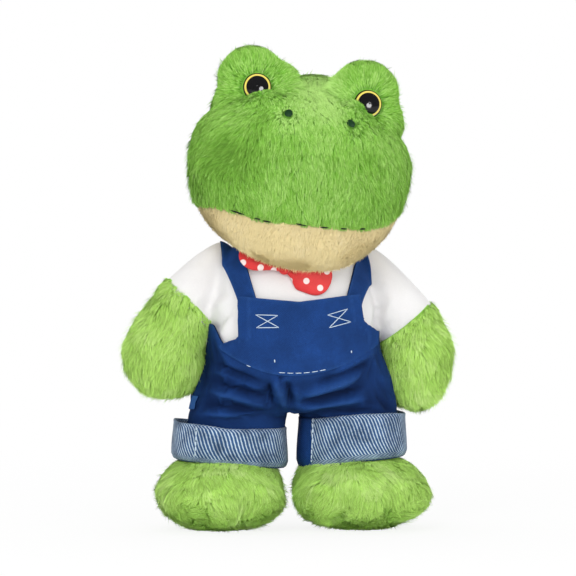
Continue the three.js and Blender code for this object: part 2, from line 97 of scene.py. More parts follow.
class FrogSizes(bpy.types.PropertyGroup):
    head_pile: length("Head Pile", "Length of the fur on the head", 0.0078)
    limb_pile: length("Limb Pile", "Length of the fur on mitts and feet", 0.0088)
    chin_pile: length("Chin Pile", "Length of the cream pile under the mouth", 0.0036)
    strand_width: length("Strand Width", "Width of one lock of fur at its root", 0.0005)
    skin_depth: length("Skin Depth", "How far the backing lies under the tips of the fur", 0.0036)
    denim: length("Denim", "Thickness of the denim", 0.0012)
    stitch: length("Thread", "Diameter of the sewing thread", 0.0007)
    spot_pitch: length("Spot Pitch", "Distance between the spots of the bow tie", 0.0105)
    wale_pitch: length("Wale Pitch", "Distance between the diagonal lines of the cuffs", 0.0024)


def colour(name, about, value):
    return bpy.props.FloatVectorProperty(
        name=name, description=about, subtype="COLOR", size=3, min=0, max=1, default=value)


class FrogColours(bpy.types.PropertyGroup):
    # Each pile runs from its root colour to its tip colour: the darker roots are painted shade deep in the pile, the
    # paler tips painted light.
    fur_deep: colour("Fur Root", "Green at the roots of the fur", (0.09, 0.31, 0.025))
    fur_mid: colour("Fur", "Green of the fur", (0.207, 0.53, 0.058))
    fur_tip: colour("Fur Tip", "Green at the tips of the fur", (0.342, 0.69, 0.108))
    fur_light: colour("Fur Light", "Green of the palest strands", (0.56, 0.87, 0.26))
    limb_deep: colour("Limb Fur Root", "Roots of the paler pile on mitts and feet", (0.32, 0.66, 0.085))
    limb_mid: colour("Limb Fur", "Middle of the paler pile on mitts and feet", (0.47, 0.85, 0.14))
    limb_tip: colour("Limb Fur Tip", "Tips of the paler pile on mitts and feet", (0.60, 0.98, 0.21))
    limb_light: colour("Limb Fur Light", "Palest tips on mitts and feet", (0.76, 1.0, 0.38))
    cream: colour("Cream", "Pile under the mouth", (1.0, 0.82, 0.42))
    cream_deep: colour("Cream Root", "Root of the pile under the mouth", (1.0, 0.78, 0.37))
    white: colour("White Cloth", "Cloth of the body and sleeves", (0.80, 0.79, 0.795))
    denim: colour("Denim", "Face of the denim", (0.007, 0.035, 0.155))
    # The pale of the denim also colours its twill lines and, as partly painted highlight, the trousers' fold crests.
    denim_pale: colour("Denim Wear", "Denim where it rubs", (0.035, 0.11, 0.32))
    cuff: colour("Cuff", "Reverse of the denim", (0.020, 0.060, 0.15))
    cuff_line: colour("Cuff Line", "Pale diagonal lines of the cuffs", (0.56, 0.67, 0.78))
    red: colour("Red", "Cotton of the bow tie", (0.78, 0.035, 0.035))
    spot: colour("Spot", "Spots of the bow tie", (0.90, 0.74, 0.72))
    thread: colour("Thread", "White sewing thread", (0.62, 0.74, 0.86))
    dark_thread: colour("Dark Thread", "Thread of the nostrils", (0.004, 0.045, 0.010))
    black: colour("Black", "Plastic of the eyes and thread of the mouth", (0.006, 0.006, 0.007))
    yellow: colour("Yellow", "Ring of the eyes", (0.88, 0.72, 0.13))
    floor: colour("Floor", "Floor and backdrop", (0.93, 0.93, 0.93))


# Meshes


def metres(points):
    """Toy millimetres to metres in the row frame."""
    return np.asarray(points, float) * MM + TOY


def head_metres(points):
    """Millimetres from the neck's middle, in the head's own frame, to metres in the row frame."""
    return np.asarray(points, float) * MM @ HEAD_TURN.T + HEAD_PLACE


def head_local(points):
    """The reverse of head_metres."""
    return (np.asarray(points, float) - HEAD_PLACE) @ HEAD_TURN / MM


def toy_local(points):
    return (np.asarray(points, float) - TOY) / MM


def make_mesh(name, points, faces, material=None, uvs=None, uv_name="UVMap", normals=None):
    """A smooth-shaded object. faces is a list of arrays, one for each count of corners."""
    groups = [np.asarray(f, np.int32) for f in faces if len(f)]
    corners = np.concatenate([f.ravel() for f in groups])
    totals = np.concatenate([np.full(len(f), f.shape[1], np.int32) for f in groups])
    starts = np.concatenate([[0], np.cumsum(totals)[:-1]]).astype(np.int32)
    mesh = bpy.data.meshes.new(name)
    mesh.vertices.add(len(points))
    mesh.vertices.foreach_set("co", np.asarray(points, np.float32).ravel())
    mesh.loops.add(len(corners))
    mesh.loops.foreach_set("vertex_index", corners)
    mesh.polygons.add(len(totals))
    mesh.polygons.foreach_set("loop_start", starts)
    mesh.polygons.foreach_set("loop_total", totals)
    mesh.update(calc_edges=True)
    mesh.polygons.foreach_set("use_smooth", np.ones(len(totals), bool))
    if uvs is not None:
        layer = mesh.uv_layers.new(name=uv_name)
        layer.data.foreach_set("uv", np.asarray(uvs, np.float32)[corners].ravel())
    if normals is not None:
        mesh.normals_split_custom_set_from_vertices(np.asarray(normals, np.float32))
    obj = bpy.data.objects.new(name, mesh)
    bpy.context.scene.collection.objects.link(obj)
    if material is not None:
        mesh.materials.append(material)
    return obj


def arrays_of(obj):
    """Points, triangles and smooth normals of an object with its modifiers."""
    shown = obj.evaluated_get(bpy.context.evaluated_depsgraph_get())
    mesh = shown.to_mesh()
    mesh.calc_loop_triangles()
    points = np.empty(len(mesh.vertices) * 3)
    mesh.vertices.foreach_get("co", points)
    triangles = np.empty(len(mesh.loop_triangles) * 3, np.int32)
    mesh.loop_triangles.foreach_get("vertices", triangles)
    shown.to_mesh_clear()
    points = points.reshape(-1, 3)
    triangles = triangles.reshape(-1, 3)
    return points, triangles, point_normals(points, triangles)


def point_normals(points, triangles):
    a, b, c = (points[triangles[:, i]] for i in range(3))
    across = np.cross(b - a, c - a)
    total = np.zeros_like(points)
    for i in range(3):
        np.add.at(total, triangles[:, i], across)
    return unit(total)


def unit(vectors):
    return vectors / np.maximum(np.linalg.norm(vectors, axis=-1, keepdims=True), 1e-12)


def smoothstep(low, high, x):
    t = np.clip((np.asarray(x, float) - low) / (high - low), 0, 1)
    return t * t * (3 - 2 * t)


def ripple(points, size, seed):
    """Smooth random waves from about -1 to 1 over a form, size across."""
    rng = np.random.default_rng(seed)
    total = np.zeros(len(points))
    for _ in range(6):
        way = rng.normal(size=3)
        way *= rng.uniform(0.7, 1.6) / np.linalg.norm(way)
        total += np.sin(points @ way * (2 * math.pi / size) + rng.uniform(0, 2 * math.pi))
    return total / 3.2


def joined(parts):
    """Points and faces of several forms as one, quads and triangles apart."""
    points, quads, triangles, count = [], [], [], 0
    for p, (q, t) in parts:
        points.append(p)
        quads.append(np.asarray(q, np.int32).reshape(-1, 4) + count)
        triangles.append(np.asarray(t, np.int32).reshape(-1, 3) + count)
        count += len(p)
    return np.concatenate(points), [np.concatenate(quads), np.concatenate(triangles)]


def melt(shapes, move, voxel, rounds):
    """One closed skin round several overlapping closed forms, moved to their place, with the joins smoothed.

    voxel is in mm. Returns points, triangles and normals.
    """
    obj = make_mesh("melting", *joined([(move(points), faces) for points, faces in shapes]))
    remesh = obj.modifiers.new("join", "REMESH")
    remesh.mode = "VOXEL"
    remesh.voxel_size = voxel * MM
    soften = obj.modifiers.new("soften", "SMOOTH")
    soften.factor = 0.5
    soften.iterations = rounds
    found = arrays_of(obj)
    bpy.data.objects.remove(obj)
    return found


def ring_quads(rings, sides, closed=False):
    """Quads between neighbouring rings of points; where closed, the last ring also meets the first."""
    i = np.arange(sides)
    j = (i + 1) % sides
    pairs = [(k * sides, (k + 1) % rings * sides) for k in range(rings if closed else rings - 1)]
    return np.concatenate([np.stack([a + i, a + j, b + j, b + i], 1) for a, b in pairs])


def tube_faces(rings, sides):
    """Quads of a tube of rings and the triangles that close it to two last points, one for each end."""
    i = np.arange(sides)
    j = (i + 1) % sides
    under, last = rings * sides, (rings - 1) * sides
    ends = [np.stack([np.full(sides, under), j, i], 1),
            np.stack([np.full(sides, under + 1), last + i, last + j], 1)]
    return ring_quads(rings, sides), np.concatenate(ends)


def grid_corners(rows, columns):
    """The first corner of every cell of a grid of points."""
    i, j = np.meshgrid(np.arange(rows - 1), np.arange(columns - 1), indexing="ij")
    return (i * columns + j).ravel()


def oval(sides, square):
    """Both coordinates round an oval of half size 1, an ellipse where square is 2 and squarer above."""
    turn = np.linspace(0, 2 * math.pi, sides, endpoint=False)
    return [np.sign(f(turn)) * np.abs(f(turn)) ** (2 / square) for f in (np.cos, np.sin)]


def stacked(rings, sides=88):
    """A closed stack of rounded ovals: rings of (x, y, z, half width, half depth, squareness), in mm."""
    rows = []
    for x, y, z, wide, deep, square in rings:
        across, along = oval(sides, square)
        rows.append(np.stack([x + wide * across, y + deep * along, np.full(sides, z)], 1))
    return np.concatenate([*rows, [rows[0].mean(0), rows[-1].mean(0)]]), tube_faces(len(rows), sides)


def stuffed(form, grow=0.0, sides=88, levels=56):
    """A stuffed form in mm: widest at one level, rounding in to its top and its bottom."""
    rings = []
    for k in range(1, levels):
        climb = -math.cos(math.pi * k / levels)
        end, far = "high" if climb > 0 else "low", abs(climb)
        reach = abs(form[end] - form["widest"]) + grow
        wide_power = form[f"{end}_round"]
        deep_power = form.get(f"{end}_deep_round", wide_power)
        share, deep_share = ((1 - far ** power) ** (1 / power) for power in (wide_power, deep_power))
        lean = far ** form.get("lean_power", 2)
        lean_x, lean_y = form.get(f"{end}_lean", (0, 0))
        rings.append((form["x"] + lean_x * lean, form["y"] + lean_y * lean,
                      form["widest"] + climb * reach,
                      (form["half_width"] + grow) * share, (form["half_depth"] + grow) * deep_share,
                      form.get("square", 2)))
    return stacked(rings, sides)


def ball(centre, radii, sides=48, levels=28):
    x, y, z = centre
    wide, deep, tall = radii
    form = {"x": x, "y": y, "widest": z, "high": z + tall, "low": z - tall, "half_width": wide,
            "half_depth": deep, "high_round": 2, "low_round": 2}
    return stuffed(form, 0, sides, levels)


# Hanging each piece on its body


def dress(obj, body, slot, *nodes, fill=None):
    """Hangs a piece on its body, if any, and hides the part's nodes that it stands for. slot, its finish, and fill, how
    full it is, are not used.
    """
    if body:
        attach(obj, body)
    if nodes:
        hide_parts(*nodes)


def skin_piece(name, skin, material, body, slot, *nodes, fill=0.8):
    """A padded piece made of a skin: points, triangles and normals."""
    points, triangles, normals = skin
    obj = make_mesh(name, points, [triangles], look(material), normals=normals)
    dress(obj, body, slot, *nodes, fill=fill)
    return obj


# Forms, in toy millimetres; the head's origin is the middle of the neck
HEAD = {"x": HEAD_SHIFT, "y": -22.5, "widest": 49, "high": 104, "low": -27,
        "half_width": 76, "half_depth": 63.5, "high_round": 1.66, "high_deep_round": 1.5,
        "low_round": 2.6, "low_deep_round": 2.3, "low_lean": (0, -30), "high_lean": (0, 18),
        "lean_power": 2.6, "square": 2.25}
LOBES = {1: (34, 94, 25), -1: (-43, 92.7, 24.5)}
LOBE_FORWARD = -18
EYE_SPREAD, EYE_RISE, EYE_FRONT = 37.5, 87.3, -40.6
NOSTRILS = {"left": (25.2, 71.3), "right": (-16.8, 71.8)}
TORSO = {"x": 0, "y": 0, "widest": 120, "high": 203, "low": 84, "half_width": 56, "half_depth": 46,
         "high_round": 2.6, "low_round": 2.4, "high_deep_round": 2.1, "square": 2.3}


def arm_form(side):
    """The arms aren't quite alike: the left one hangs closer and lower."""
    low, x, wide = (79, 86, 24.3) if side > 0 else (88, -87, 28)
    return {"x": x, "y": 6, "widest": 122, "high": 195, "low": low, "half_width": wide,
            "half_depth": 24, "high_round": 1.75, "low_round": 2.5, "high_lean": (-side * 40, 0),
            "low_lean": (-side * 2, 0), "lean_power": 1.35}


MOUTH_LINE = [(-80, 5), (-68, 4.4), (-59, 4.5), (-48, 3.2), (-32, 0.6), (-12, 0.3), (1, 0.9), (14, 1.8), (30, 3.2),
              (44, 5.6), (57, 10), (67, 19), (74, 24), (82, 27)]


def mouth_level(x):
    """Height of the mouth seam in the head's frame, which curls up at the cheeks, less so on the right cheek."""
    return np.interp(x, [q[0] for q in MOUTH_LINE], [q[1] for q in MOUTH_LINE])


# Shader groups


def new_group(name, inputs, outputs):
    tree = bpy.data.node_groups.new(name, "ShaderNodeTree")
    for title, kind, default in inputs:
        socket = tree.interface.new_socket(title, in_out="INPUT", socket_type=kind)
        if default is not None:
            socket.default_value = default
    for title, kind in outputs:
        tree.interface.new_socket(title, in_out="OUTPUT", socket_type=kind)
    return tree, tree.nodes.new("NodeGroupInput"), tree.nodes.new("NodeGroupOutput")


def node(tree, kind, **values):
    made = tree.nodes.new(kind)
    for key, value in values.items():
        if key in made.inputs:
            made.inputs[key].default_value = value
        else:
            setattr(made, key, value)
    return made


def maths(tree, operation, a, b=None, clamp=False):
    made = node(tree, "ShaderNodeMath", operation=operation, use_clamp=clamp)
    for slot, value in enumerate((a, b)):
        if value is None:
            continue
        if isinstance(value, (int, float)):
            made.inputs[slot].default_value = value
        else:
            tree.links.new(value, made.inputs[slot])
    return made.outputs[0]


def mixed(tree, share, a, b, blend="MIX"):
    made = node(tree, "ShaderNodeMix", data_type="RGBA", blend_type=blend)
    for slot, value in ((0, share), (6, a), (7, b)):
        if isinstance(value, (int, float)):
            made.inputs[slot].default_value = value
        elif isinstance(value, (tuple, list)):
            made.inputs[slot].default_value = (*value[:3], 1)
        else:
            tree.links.new(value, made.inputs[slot])
    return made.outputs[2]


def blotch_group():
    """Slow and fine unevenness of dyed cloth, as a value round 0.5."""
    tree, start, end = new_group(
        "Cloth Unevenness",
        [("Vector", "NodeSocketVector", None), ("Slow Scale", "NodeSocketFloat", 40.0),
         ("Fine Scale", "NodeSocketFloat", 900.0), ("Fine Share", "NodeSocketFloat", 0.4)],
        [("Value", "NodeSocketFloat")])
    slow = node(tree, "ShaderNodeTexNoise", Detail=4.0, Roughness=0.6)
    fine = node(tree, "ShaderNodeTexNoise", Detail=2.0, Roughness=0.7)
    for noise, scale in ((slow, "Slow Scale"), (fine, "Fine Scale")):
        tree.links.new(start.outputs["Vector"], noise.inputs["Vector"])
        tree.links.new(start.outputs[scale], noise.inputs["Scale"])
    blend = node(tree, "ShaderNodeMix", data_type="FLOAT")
    tree.links.new(start.outputs["Fine Share"], blend.inputs[0])
    tree.links.new(slow.outputs["Fac"], blend.inputs[2])
    tree.links.new(fine.outputs["Fac"], blend.inputs[3])
    tree.links.new(blend.outputs[0], end.inputs["Value"])
    return tree


def wale_group():
    """Diagonal lines of a twill over a flat pattern in metres, from 0 between to 1 on a line."""
    tree, start, end = new_group(
        "Twill Lines",
        [("Vector", "NodeSocketVector", None), ("Pitch", "NodeSocketFloat", 0.00175),
         ("Slope", "NodeSocketFloat", 1.0), ("Waver", "NodeSocketFloat", 0.25)],
        [("Line", "NodeSocketFloat"), ("Grain", "NodeSocketFloat")])
    split = node(tree, "ShaderNodeSeparateXYZ")
    tree.links.new(start.outputs["Vector"], split.inputs[0])
    noise = node(tree, "ShaderNodeTexNoise", Scale=420.0, Detail=2.0)
    tree.links.new(start.outputs["Vector"], noise.inputs["Vector"])
    lean = maths(tree, "MULTIPLY", split.outputs["Y"], start.outputs["Slope"])
    flat = maths(tree, "ADD", split.outputs["X"], lean)
    turns = maths(tree, "DIVIDE", flat, start.outputs["Pitch"])
    push = maths(tree, "MULTIPLY", maths(tree, "SUBTRACT", noise.outputs["Fac"], 0.5),
                 start.outputs["Waver"])
    wave = maths(tree, "SINE", maths(tree, "MULTIPLY", maths(tree, "ADD", turns, push), 2 * math.pi))
    line = maths(tree, "MULTIPLY_ADD", wave, 0.5)
    line.node.inputs[2].default_value = 0.5
    tree.links.new(line, end.inputs["Line"])
    tree.links.new(noise.outputs["Fac"], end.inputs["Grain"])
    return tree


GROUPS = {"blotch": blotch_group, "wale": wale_group}
groups = {}


def group(name):
    if name not in groups:
        groups[name] = GROUPS[name]()
    return groups[name]


def placed_group(tree, name, vector, **values):
    made = node(tree, "ShaderNodeGroup", node_tree=group(name))
    for title, value in values.items():
        made.inputs[title.replace("_", " ").title()].default_value = value
    if vector is not None:
        tree.links.new(vector, made.inputs["Vector"])
    return made


# Materials


def new_material(name, roughness=0.9, specular=0.3, sheen=0.0, coat=0.0):
    made = bpy.data.materials.new(f"frog_{name}")
    made.use_nodes = True
    shader = made.node_tree.nodes["Principled BSDF"]
    values = {"Roughness": roughness, "Specular IOR Level": specular, "Sheen Weight": sheen,
              "Sheen Tint": (1, 1, 1, 1), "Sheen Roughness": 0.5, "Coat Weight": coat}
    for title, value in values.items():
        shader.inputs[title].default_value = value
    return made, made.node_tree, shader


def scaled(shade, share):
    return tuple(c * share for c in shade)


def bump(tree, shader, height, strength, distance):
    made = node(tree, "ShaderNodeBump", Strength=strength, Distance=distance)
    tree.links.new(height, made.inputs["Height"])
    tree.links.new(made.outputs[0], shader.inputs["Normal"])


def remap(tree, value, from_min=0.0, from_max=1.0, to_min=0.0, to_max=1.0):
    made = node(tree, "ShaderNodeMapRange",
                **{"From Min": from_min, "From Max": from_max, "To Min": to_min, "To Max": to_max})
    tree.links.new(value, made.inputs["Value"])
    return made.outputs[0]


def ramp(tree, value, stops):
    made = node(tree, "ShaderNodeValToRGB")
    elements = made.color_ramp.elements
    while len(elements) < len(stops):
        elements.new(0.5)
    for element, (place, shade) in zip(elements, stops):
        element.position = place
        element.color = (*shade[:3], 1)
    tree.links.new(value, made.inputs[0])
    return made.outputs[0]


def unevenness(tree, slow, fine, share):
    """The unevenness of cloth over an object's own places."""
    place = node(tree, "ShaderNodeTexCoord").outputs["Object"]
    return placed_group(tree, "blotch", place, slow_scale=slow, fine_scale=fine, fine_share=share).outputs[0]


def fur_material(name, deep, mid, tip, light, dark):
    """Fur whose colour is read from the pattern that each strand carries: tone across, root to tip up."""
    made, tree, shader = new_material(name, 0.9, 0.0)
    uv = node(tree, "ShaderNodeUVMap", uv_map="OFBake")
    split = node(tree, "ShaderNodeSeparateXYZ")
    tree.links.new(uv.outputs[0], split.inputs[0])
    face = node(tree, "ShaderNodeNewGeometry")
    turned = node(tree, "ShaderNodeVectorMath", operation="SCALE")
    tree.links.new(face.outputs["Normal"], turned.inputs[0])
    tree.links.new(maths(tree, "SUBTRACT", 1.0, maths(tree, "MULTIPLY", face.outputs["Backfacing"], 2.0)),
                   turned.inputs["Scale"])
    tree.links.new(turned.outputs[0], shader.inputs["Normal"])
    # Painted shade and light along each strand: darker at the root, paler at the tip.
    along = ramp(tree, split.outputs["Y"], [(0.0, deep), (0.4, mid), (1.0, tip)])
    low = ramp(tree, split.outputs["X"], [(0.0, (dark, dark, dark)), (0.5, (1, 1, 1))])
    darker = mixed(tree, 1.0, along, low, "MULTIPLY")
    high = remap(tree, split.outputs["X"], from_min=0.5, to_max=0.8)
    tree.links.new(mixed(tree, high, darker, light), shader.inputs["Base Color"])
    return made


def cloth_material(name, shade, sheen, depth, fine, dark_share):
    """Soft knitted or brushed cloth: faint blotches and a fine nap."""
    made, tree, shader = new_material(name, 0.92, 0.2, sheen)
    uneven = unevenness(tree, 45.0, fine, 0.45)
    light = tuple(min(1, c * (1 + dark_share / 2)) for c in shade)
    tree.links.new(ramp(tree, uneven, [(0.3, scaled(shade, 1 - dark_share)), (0.7, light)]),
                   shader.inputs["Base Color"])
    bump(tree, shader, uneven, 0.5, depth)
    return made


def denim_material(name, shade, pale):
    """Dark denim: a fine twill, slubs, and paler cloth where edges rub; on the trousers' fold crests the paler cloth is
    partly rubbed wear and partly painted highlight, and where the attribute is below 0 the denim takes painted shade.
    """
    made, tree, shader = new_material(name, 0.9, 0.08)
    uneven = unevenness(tree, 55.0, 1700.0, 0.5)
    turned = node(tree, "ShaderNodeMapping")
    turned.inputs["Rotation"].default_value = (math.radians(90), 0, 0)
    tree.links.new(node(tree, "ShaderNodeTexCoord").outputs["Object"], turned.inputs[0])
    twill = placed_group(tree, "wale", turned.outputs[0], pitch=0.0011, slope=0.9, waver=0.5).outputs["Line"]
    # The attribute read here is above 0 for rubbed wear, on the trousers' fold crests partly for painted highlight, and
    # below 0 for painted shade.
    wear = node(tree, "ShaderNodeAttribute", attribute_name="wear", attribute_type="GEOMETRY").outputs["Fac"]
    base = ramp(tree, uneven, [(0.34, scaled(shade, 0.6)), (0.52, shade), (0.72, scaled(shade, 1.7))])
    threads = mixed(tree, maths(tree, "MULTIPLY", twill, 0.22), base, pale)
    # Painted shade: below 0 the denim darkens towards 0.35 of its colour, over the trousers and most in their folds'
    # valleys.
    deep = mixed(tree, maths(tree, "MULTIPLY", wear, -1.0, clamp=True), threads, scaled(shade, 0.35))
    # Paler where the attribute is above 0: rubbed wear on edges and seams, and on the trousers' fold crests partly
    # painted highlight.
    worn_and_shaded = mixed(tree, maths(tree, "MULTIPLY", wear, 0.55, clamp=True), deep, pale)
    tree.links.new(worn_and_shaded, shader.inputs["Base Color"])
    bump(tree, shader, maths(tree, "ADD", maths(tree, "MULTIPLY", twill, 0.6), uneven), 0.45, 0.00025)
    return made


def cuff_material(name, shade, line, pitch):
    """The reverse of denim: pale diagonal lines on a greyed blue, with worn patches."""
    made, tree, shader = new_material(name, 0.88, 0.2, 0.1)
    flat = node(tree, "ShaderNodeUVMap", uv_map="cloth")
    twill = placed_group(tree, "wale", flat.outputs[0], pitch=pitch, slope=0.72, waver=0.28).outputs["Line"]
    uneven = unevenness(tree, 95.0, 1500.0, 0.35)
    sharp = remap(tree, twill, from_min=0.56, from_max=0.9)
    fade = remap(tree, uneven, from_min=0.38, from_max=0.6, to_min=0.3)
    base = ramp(tree, uneven, [(0.38, scaled(shade, 0.7)), (0.62, scaled(shade, 1.6))])
    tree.links.new(mixed(tree, maths(tree, "MULTIPLY", sharp, fade), base, line), shader.inputs["Base Color"])
    bump(tree, shader, twill, 0.6, 0.0003)
    return made


def spotted_material(name, shade, spot, pitch):
    """Red cotton with round pale spots in a loose pattern."""
    made, tree, shader = new_material(name, 0.7, 0.3, 0.15)
    flat = node(tree, "ShaderNodeUVMap", uv_map="cloth")
    cells = node(tree, "ShaderNodeTexVoronoi", voronoi_dimensions="2D", feature="F1",
                 Scale=1 / pitch, Randomness=0.45)
    tree.links.new(flat.outputs[0], cells.inputs["Vector"])
    edge = remap(tree, cells.outputs["Distance"], from_min=0.185, from_max=0.215, to_min=1.0, to_max=0.0)
    uneven = unevenness(tree, 120.0, 2200.0, 0.6)
    base = ramp(tree, uneven, [(0.3, scaled(shade, 0.78)), (0.7, shade)])
    tree.links.new(mixed(tree, edge, base, spot), shader.inputs["Base Color"])
    bump(tree, shader, uneven, 0.35, 0.0002)
    return made


def plain_material(name, shade, roughness, specular, coat=0.0, depth=0.00004):
    """Thread or plastic: nearly one colour, with a little unevenness in its gloss."""
    made, tree, shader = new_material(name, roughness, specular, coat=coat)
    uneven = unevenness(tree, 150.0, 900.0, 0.5)
    tree.links.new(ramp(tree, uneven, [(0.3, scaled(shade, 0.85)), (0.7, shade)]), shader.inputs["Base Color"])
    tree.links.new(remap(tree, uneven, to_min=roughness * 0.85, to_max=min(1, roughness * 1.2)),
                   shader.inputs["Roughness"])
    bump(tree, shader, uneven, 0.3, depth)
    return made


looks = {}


def look(name):
    """A material of the frog by name, made the first time it is wanted."""
    if name in looks:
        return looks[name]
    sizes = bpy.context.scene.frog_sizes
    hue = {key: tuple(getattr(bpy.context.scene.frog_colours, key)) for key in FrogColours.__annotations__}
    pale_cream = tuple(0.6 * c + 0.4 for c in hue["cream"])
    recipes = {
        "green_fur": (fur_material, hue["fur_deep"], hue["fur_mid"], hue["fur_tip"], hue["fur_light"], 0.6),
        "green_limb_fur": (fur_material, hue["limb_deep"], hue["limb_mid"], hue["limb_tip"],
                           hue["limb_light"], 0.65),
        "cream_pile": (fur_material, hue["cream_deep"], hue["cream"], hue["cream"], pale_cream, 0.9),
        "green_backing": (cloth_material, hue["fur_mid"], 0, 0.0001, 500, 0.25),
        "limb_backing": (cloth_material, hue["fur_tip"], 0, 0.0001, 500, 0.15),
        "cream_backing": (cloth_material, hue["cream"], 0, 0.0001, 1400, 0),
        "white_cloth": (cloth_material, hue["white"], 0.3, 0.0004, 1100, 0.05),
        "denim": (denim_material, hue["denim"], hue["denim_pale"]),
        "denim_reverse": (cuff_material, hue["cuff"], hue["cuff_line"], sizes.wale_pitch),
        "spotted_cotton": (spotted_material, hue["red"], hue["spot"], sizes.spot_pitch),
        "white_thread": (plain_material, hue["thread"], 0.7, 0.3),
        "nostril_thread": (plain_material, hue["dark_thread"], 0.6, 0.3),
        "mouth_thread": (plain_material, hue["black"], 0.7, 0.25),
        "black_plastic": (plain_material, hue["black"], 0.08, 0.3, 0.0, 0.000005),
        "yellow_plastic": (plain_material, hue["yellow"], 0.28, 0.5, 0.3, 0.00002),
    }
    recipe, *values = recipes[name]
    looks[name] = recipe(name, *values)
    return looks[name]


# Fur

FUR_TONE = 0.5  # the tone that all strands vary about
FUR_PATCH = 0.03  # size of the wide patches of tone, in metres


def scattered(points, triangles, normals, count, rng):
    """Random places on a skin, evenly by area, with their smooth normals."""
    a, b, c = (points[triangles[:, i]] for i in range(3))
    area = np.linalg.norm(np.cross(b - a, c - a), axis=1)
    chosen = np.searchsorted(np.cumsum(area) / area.sum(), rng.random(count))
    chosen = np.minimum(chosen, len(triangles) - 1)
    u, v = rng.random(count), rng.random(count)
    over = u + v > 1
    u[over], v[over] = 1 - u[over], 1 - v[over]
    w = np.stack([1 - u - v, u, v], 1)[:, :, None]
    corners = triangles[chosen]
    return (points[corners] * w).sum(1), unit((normals[corners] * w).sum(1))


def area_of(points, triangles):
    a, b, c = (points[triangles[:, i]] for i in range(3))
    return float(np.linalg.norm(np.cross(b - a, c - a), axis=1).sum() / 2)


def nearest_of(centres, points):
    tree = KDTree(len(centres))
    for i, c in enumerate(centres):
        tree.insert(c, i)
    tree.balance()
    return np.array([tree.find(p)[1] for p in points])


def fur(name, skin, material, density, length, width, comb, seed, keep=None, lift=(38, 10),
        clump=0.0024, pull=0.32, wander=0.26, scale=None, shade=None,
        flatter=None, floor=None, locks=0.05, patches=0.06, grain=0.19, rough=0.17, field=None,
        lean=(0, 0, 0), stray=0.06):
    """Pile as narrow tapering ribbons, combed over a skin and gathered in small locks.

    density is in strands for each square millimetre; comb gives each root its direction;
    keep says which roots grow; scale gives the length at each root as a share of length;
    shade adds to the tone of each strand; flatter gives a share of the lift at each root;
    locks, patches and grain say how far locks, wider patches and single strands differ in tone;
    rough how far their shading does; pieces that meet share one field, the seed of their slow turns;
    lean turns the shading of all strands; stray is the share that stands off the rest.
    """
    rng = np.random.default_rng(seed)
    points, triangles, normals = skin
    count = int(area_of(points, triangles) / MM**2 * density)
    root, up = scattered(points, triangles, normals, count, rng)
    if keep is not None:
        good = keep(root)
        root, up = root[good], up[good]
    count = len(root)
    flow = comb(root, up)
    field = seed if field is None else field
    swirl = np.stack([ripple(root, 0.034, field + k) for k in range(3)], 1)
    loose = rng.normal(size=(count, 3)) * 0.1
    flow = unit(flow) + swirl * wander + loose
    flow = unit(flow - (flow * up).sum(1, keepdims=True) * up)
    long = length * rng.uniform(0.68, 1.15, count) * (1 if scale is None else scale(root))
    centres = root[rng.random(count) < 1 / (3.1 * (clump / MM) ** 2 * density)]
    owner = nearest_of(centres, root)
    drawn = (centres[owner] - root) * pull
    drawn *= np.minimum(1, clump / np.maximum(np.linalg.norm(drawn, axis=1, keepdims=True), 1e-9))
    rise = rng.normal(size=len(centres))[owner] * 4 + rng.normal(size=count) * 5
    share = 1 if flatter is None else flatter(root, up)
    rise = rise * np.clip(share, 0.35, 1) + (rng.random(count) < stray * np.clip(share, 0, 1)) * 26
    low, high = (np.radians(np.clip(lift[i] * share + rise, 1.5, 88)) for i in (0, 1))
    mid = root + long[:, None] * 0.5 * (flow * np.cos(low)[:, None] + up * np.sin(low)[:, None]) + drawn * 0.35
    tip = mid + long[:, None] * 0.5 * (flow * np.cos(high)[:, None] + up * np.sin(high)[:, None]) + drawn * 0.65
    sunk = (1.6 * (1 - np.clip(share, 0, 1)) - 0.6) * MM * np.ones(count)
    mid, tip = mid + up * (sunk[:, None] + 0.6 * MM), tip + up * (sunk[:, None] + 0.6 * MM)
    root = root + up * np.minimum(sunk, 0)[:, None]
    roll = rng.normal(size=count)[:, None] * 0.4
    side = unit(np.cross(flow, up) + up * roll)
    half = side * (width * rng.uniform(0.7, 1.25, count) / 2)[:, None]
    made = np.stack([root - half, root + half, mid + half * 0.85, mid - half * 0.85, tip], 1).reshape(-1, 3)
    if floor is not None:
        made[:, 2] = np.maximum(made[:, 2], floor)
    start = np.arange(count)[:, None] * 5
    quads = start + np.array([[0, 1, 2, 3]])
    tips = start + np.array([[3, 2, 4]])
    face_up = np.cross(side, tip - root)
    flip = (face_up * up).sum(1) < 0
    quads[flip] = quads[flip][:, ::-1]
    tips[flip] = tips[flip][:, ::-1]
    lock = rng.normal(size=(len(centres), 3))[owner] * locks * 1.6
    lean = lean(root) if callable(lean) else lean
    turned = unit(up + lock + lean + rng.normal(size=(count, 3)) * rough)
    shades = np.repeat(turned, 5, axis=0)
    tones = FUR_TONE + locks * rng.normal(size=len(centres))[owner] + grain * rng.normal(size=count)
    tones = tones + patches * ripple(root, FUR_PATCH, field + 11) + (0 if shade is None else shade(root))
    tones = np.clip(tones, 0.02, 0.98)
    uvs = np.stack([np.repeat(tones, 5), np.tile([0, 0, 0.5, 0.5, 1.0], count)], 1)
    return make_mesh(name, made, [quads, tips], look(material), uvs, "OFBake", shades)


# Camera and pixels


def camera_matrix():
    turn, rise = math.radians(VIEW_AZIMUTH), math.radians(VIEW_RISE)
    back = Vector((math.sin(turn) * math.cos(rise), -math.cos(turn) * math.cos(rise), math.sin(rise)))
    matrix = (-back).to_track_quat("-Z", "Y").to_matrix().to_4x4()
    matrix.translation = VIEW_AIM + back * VIEW_FAR
    return matrix


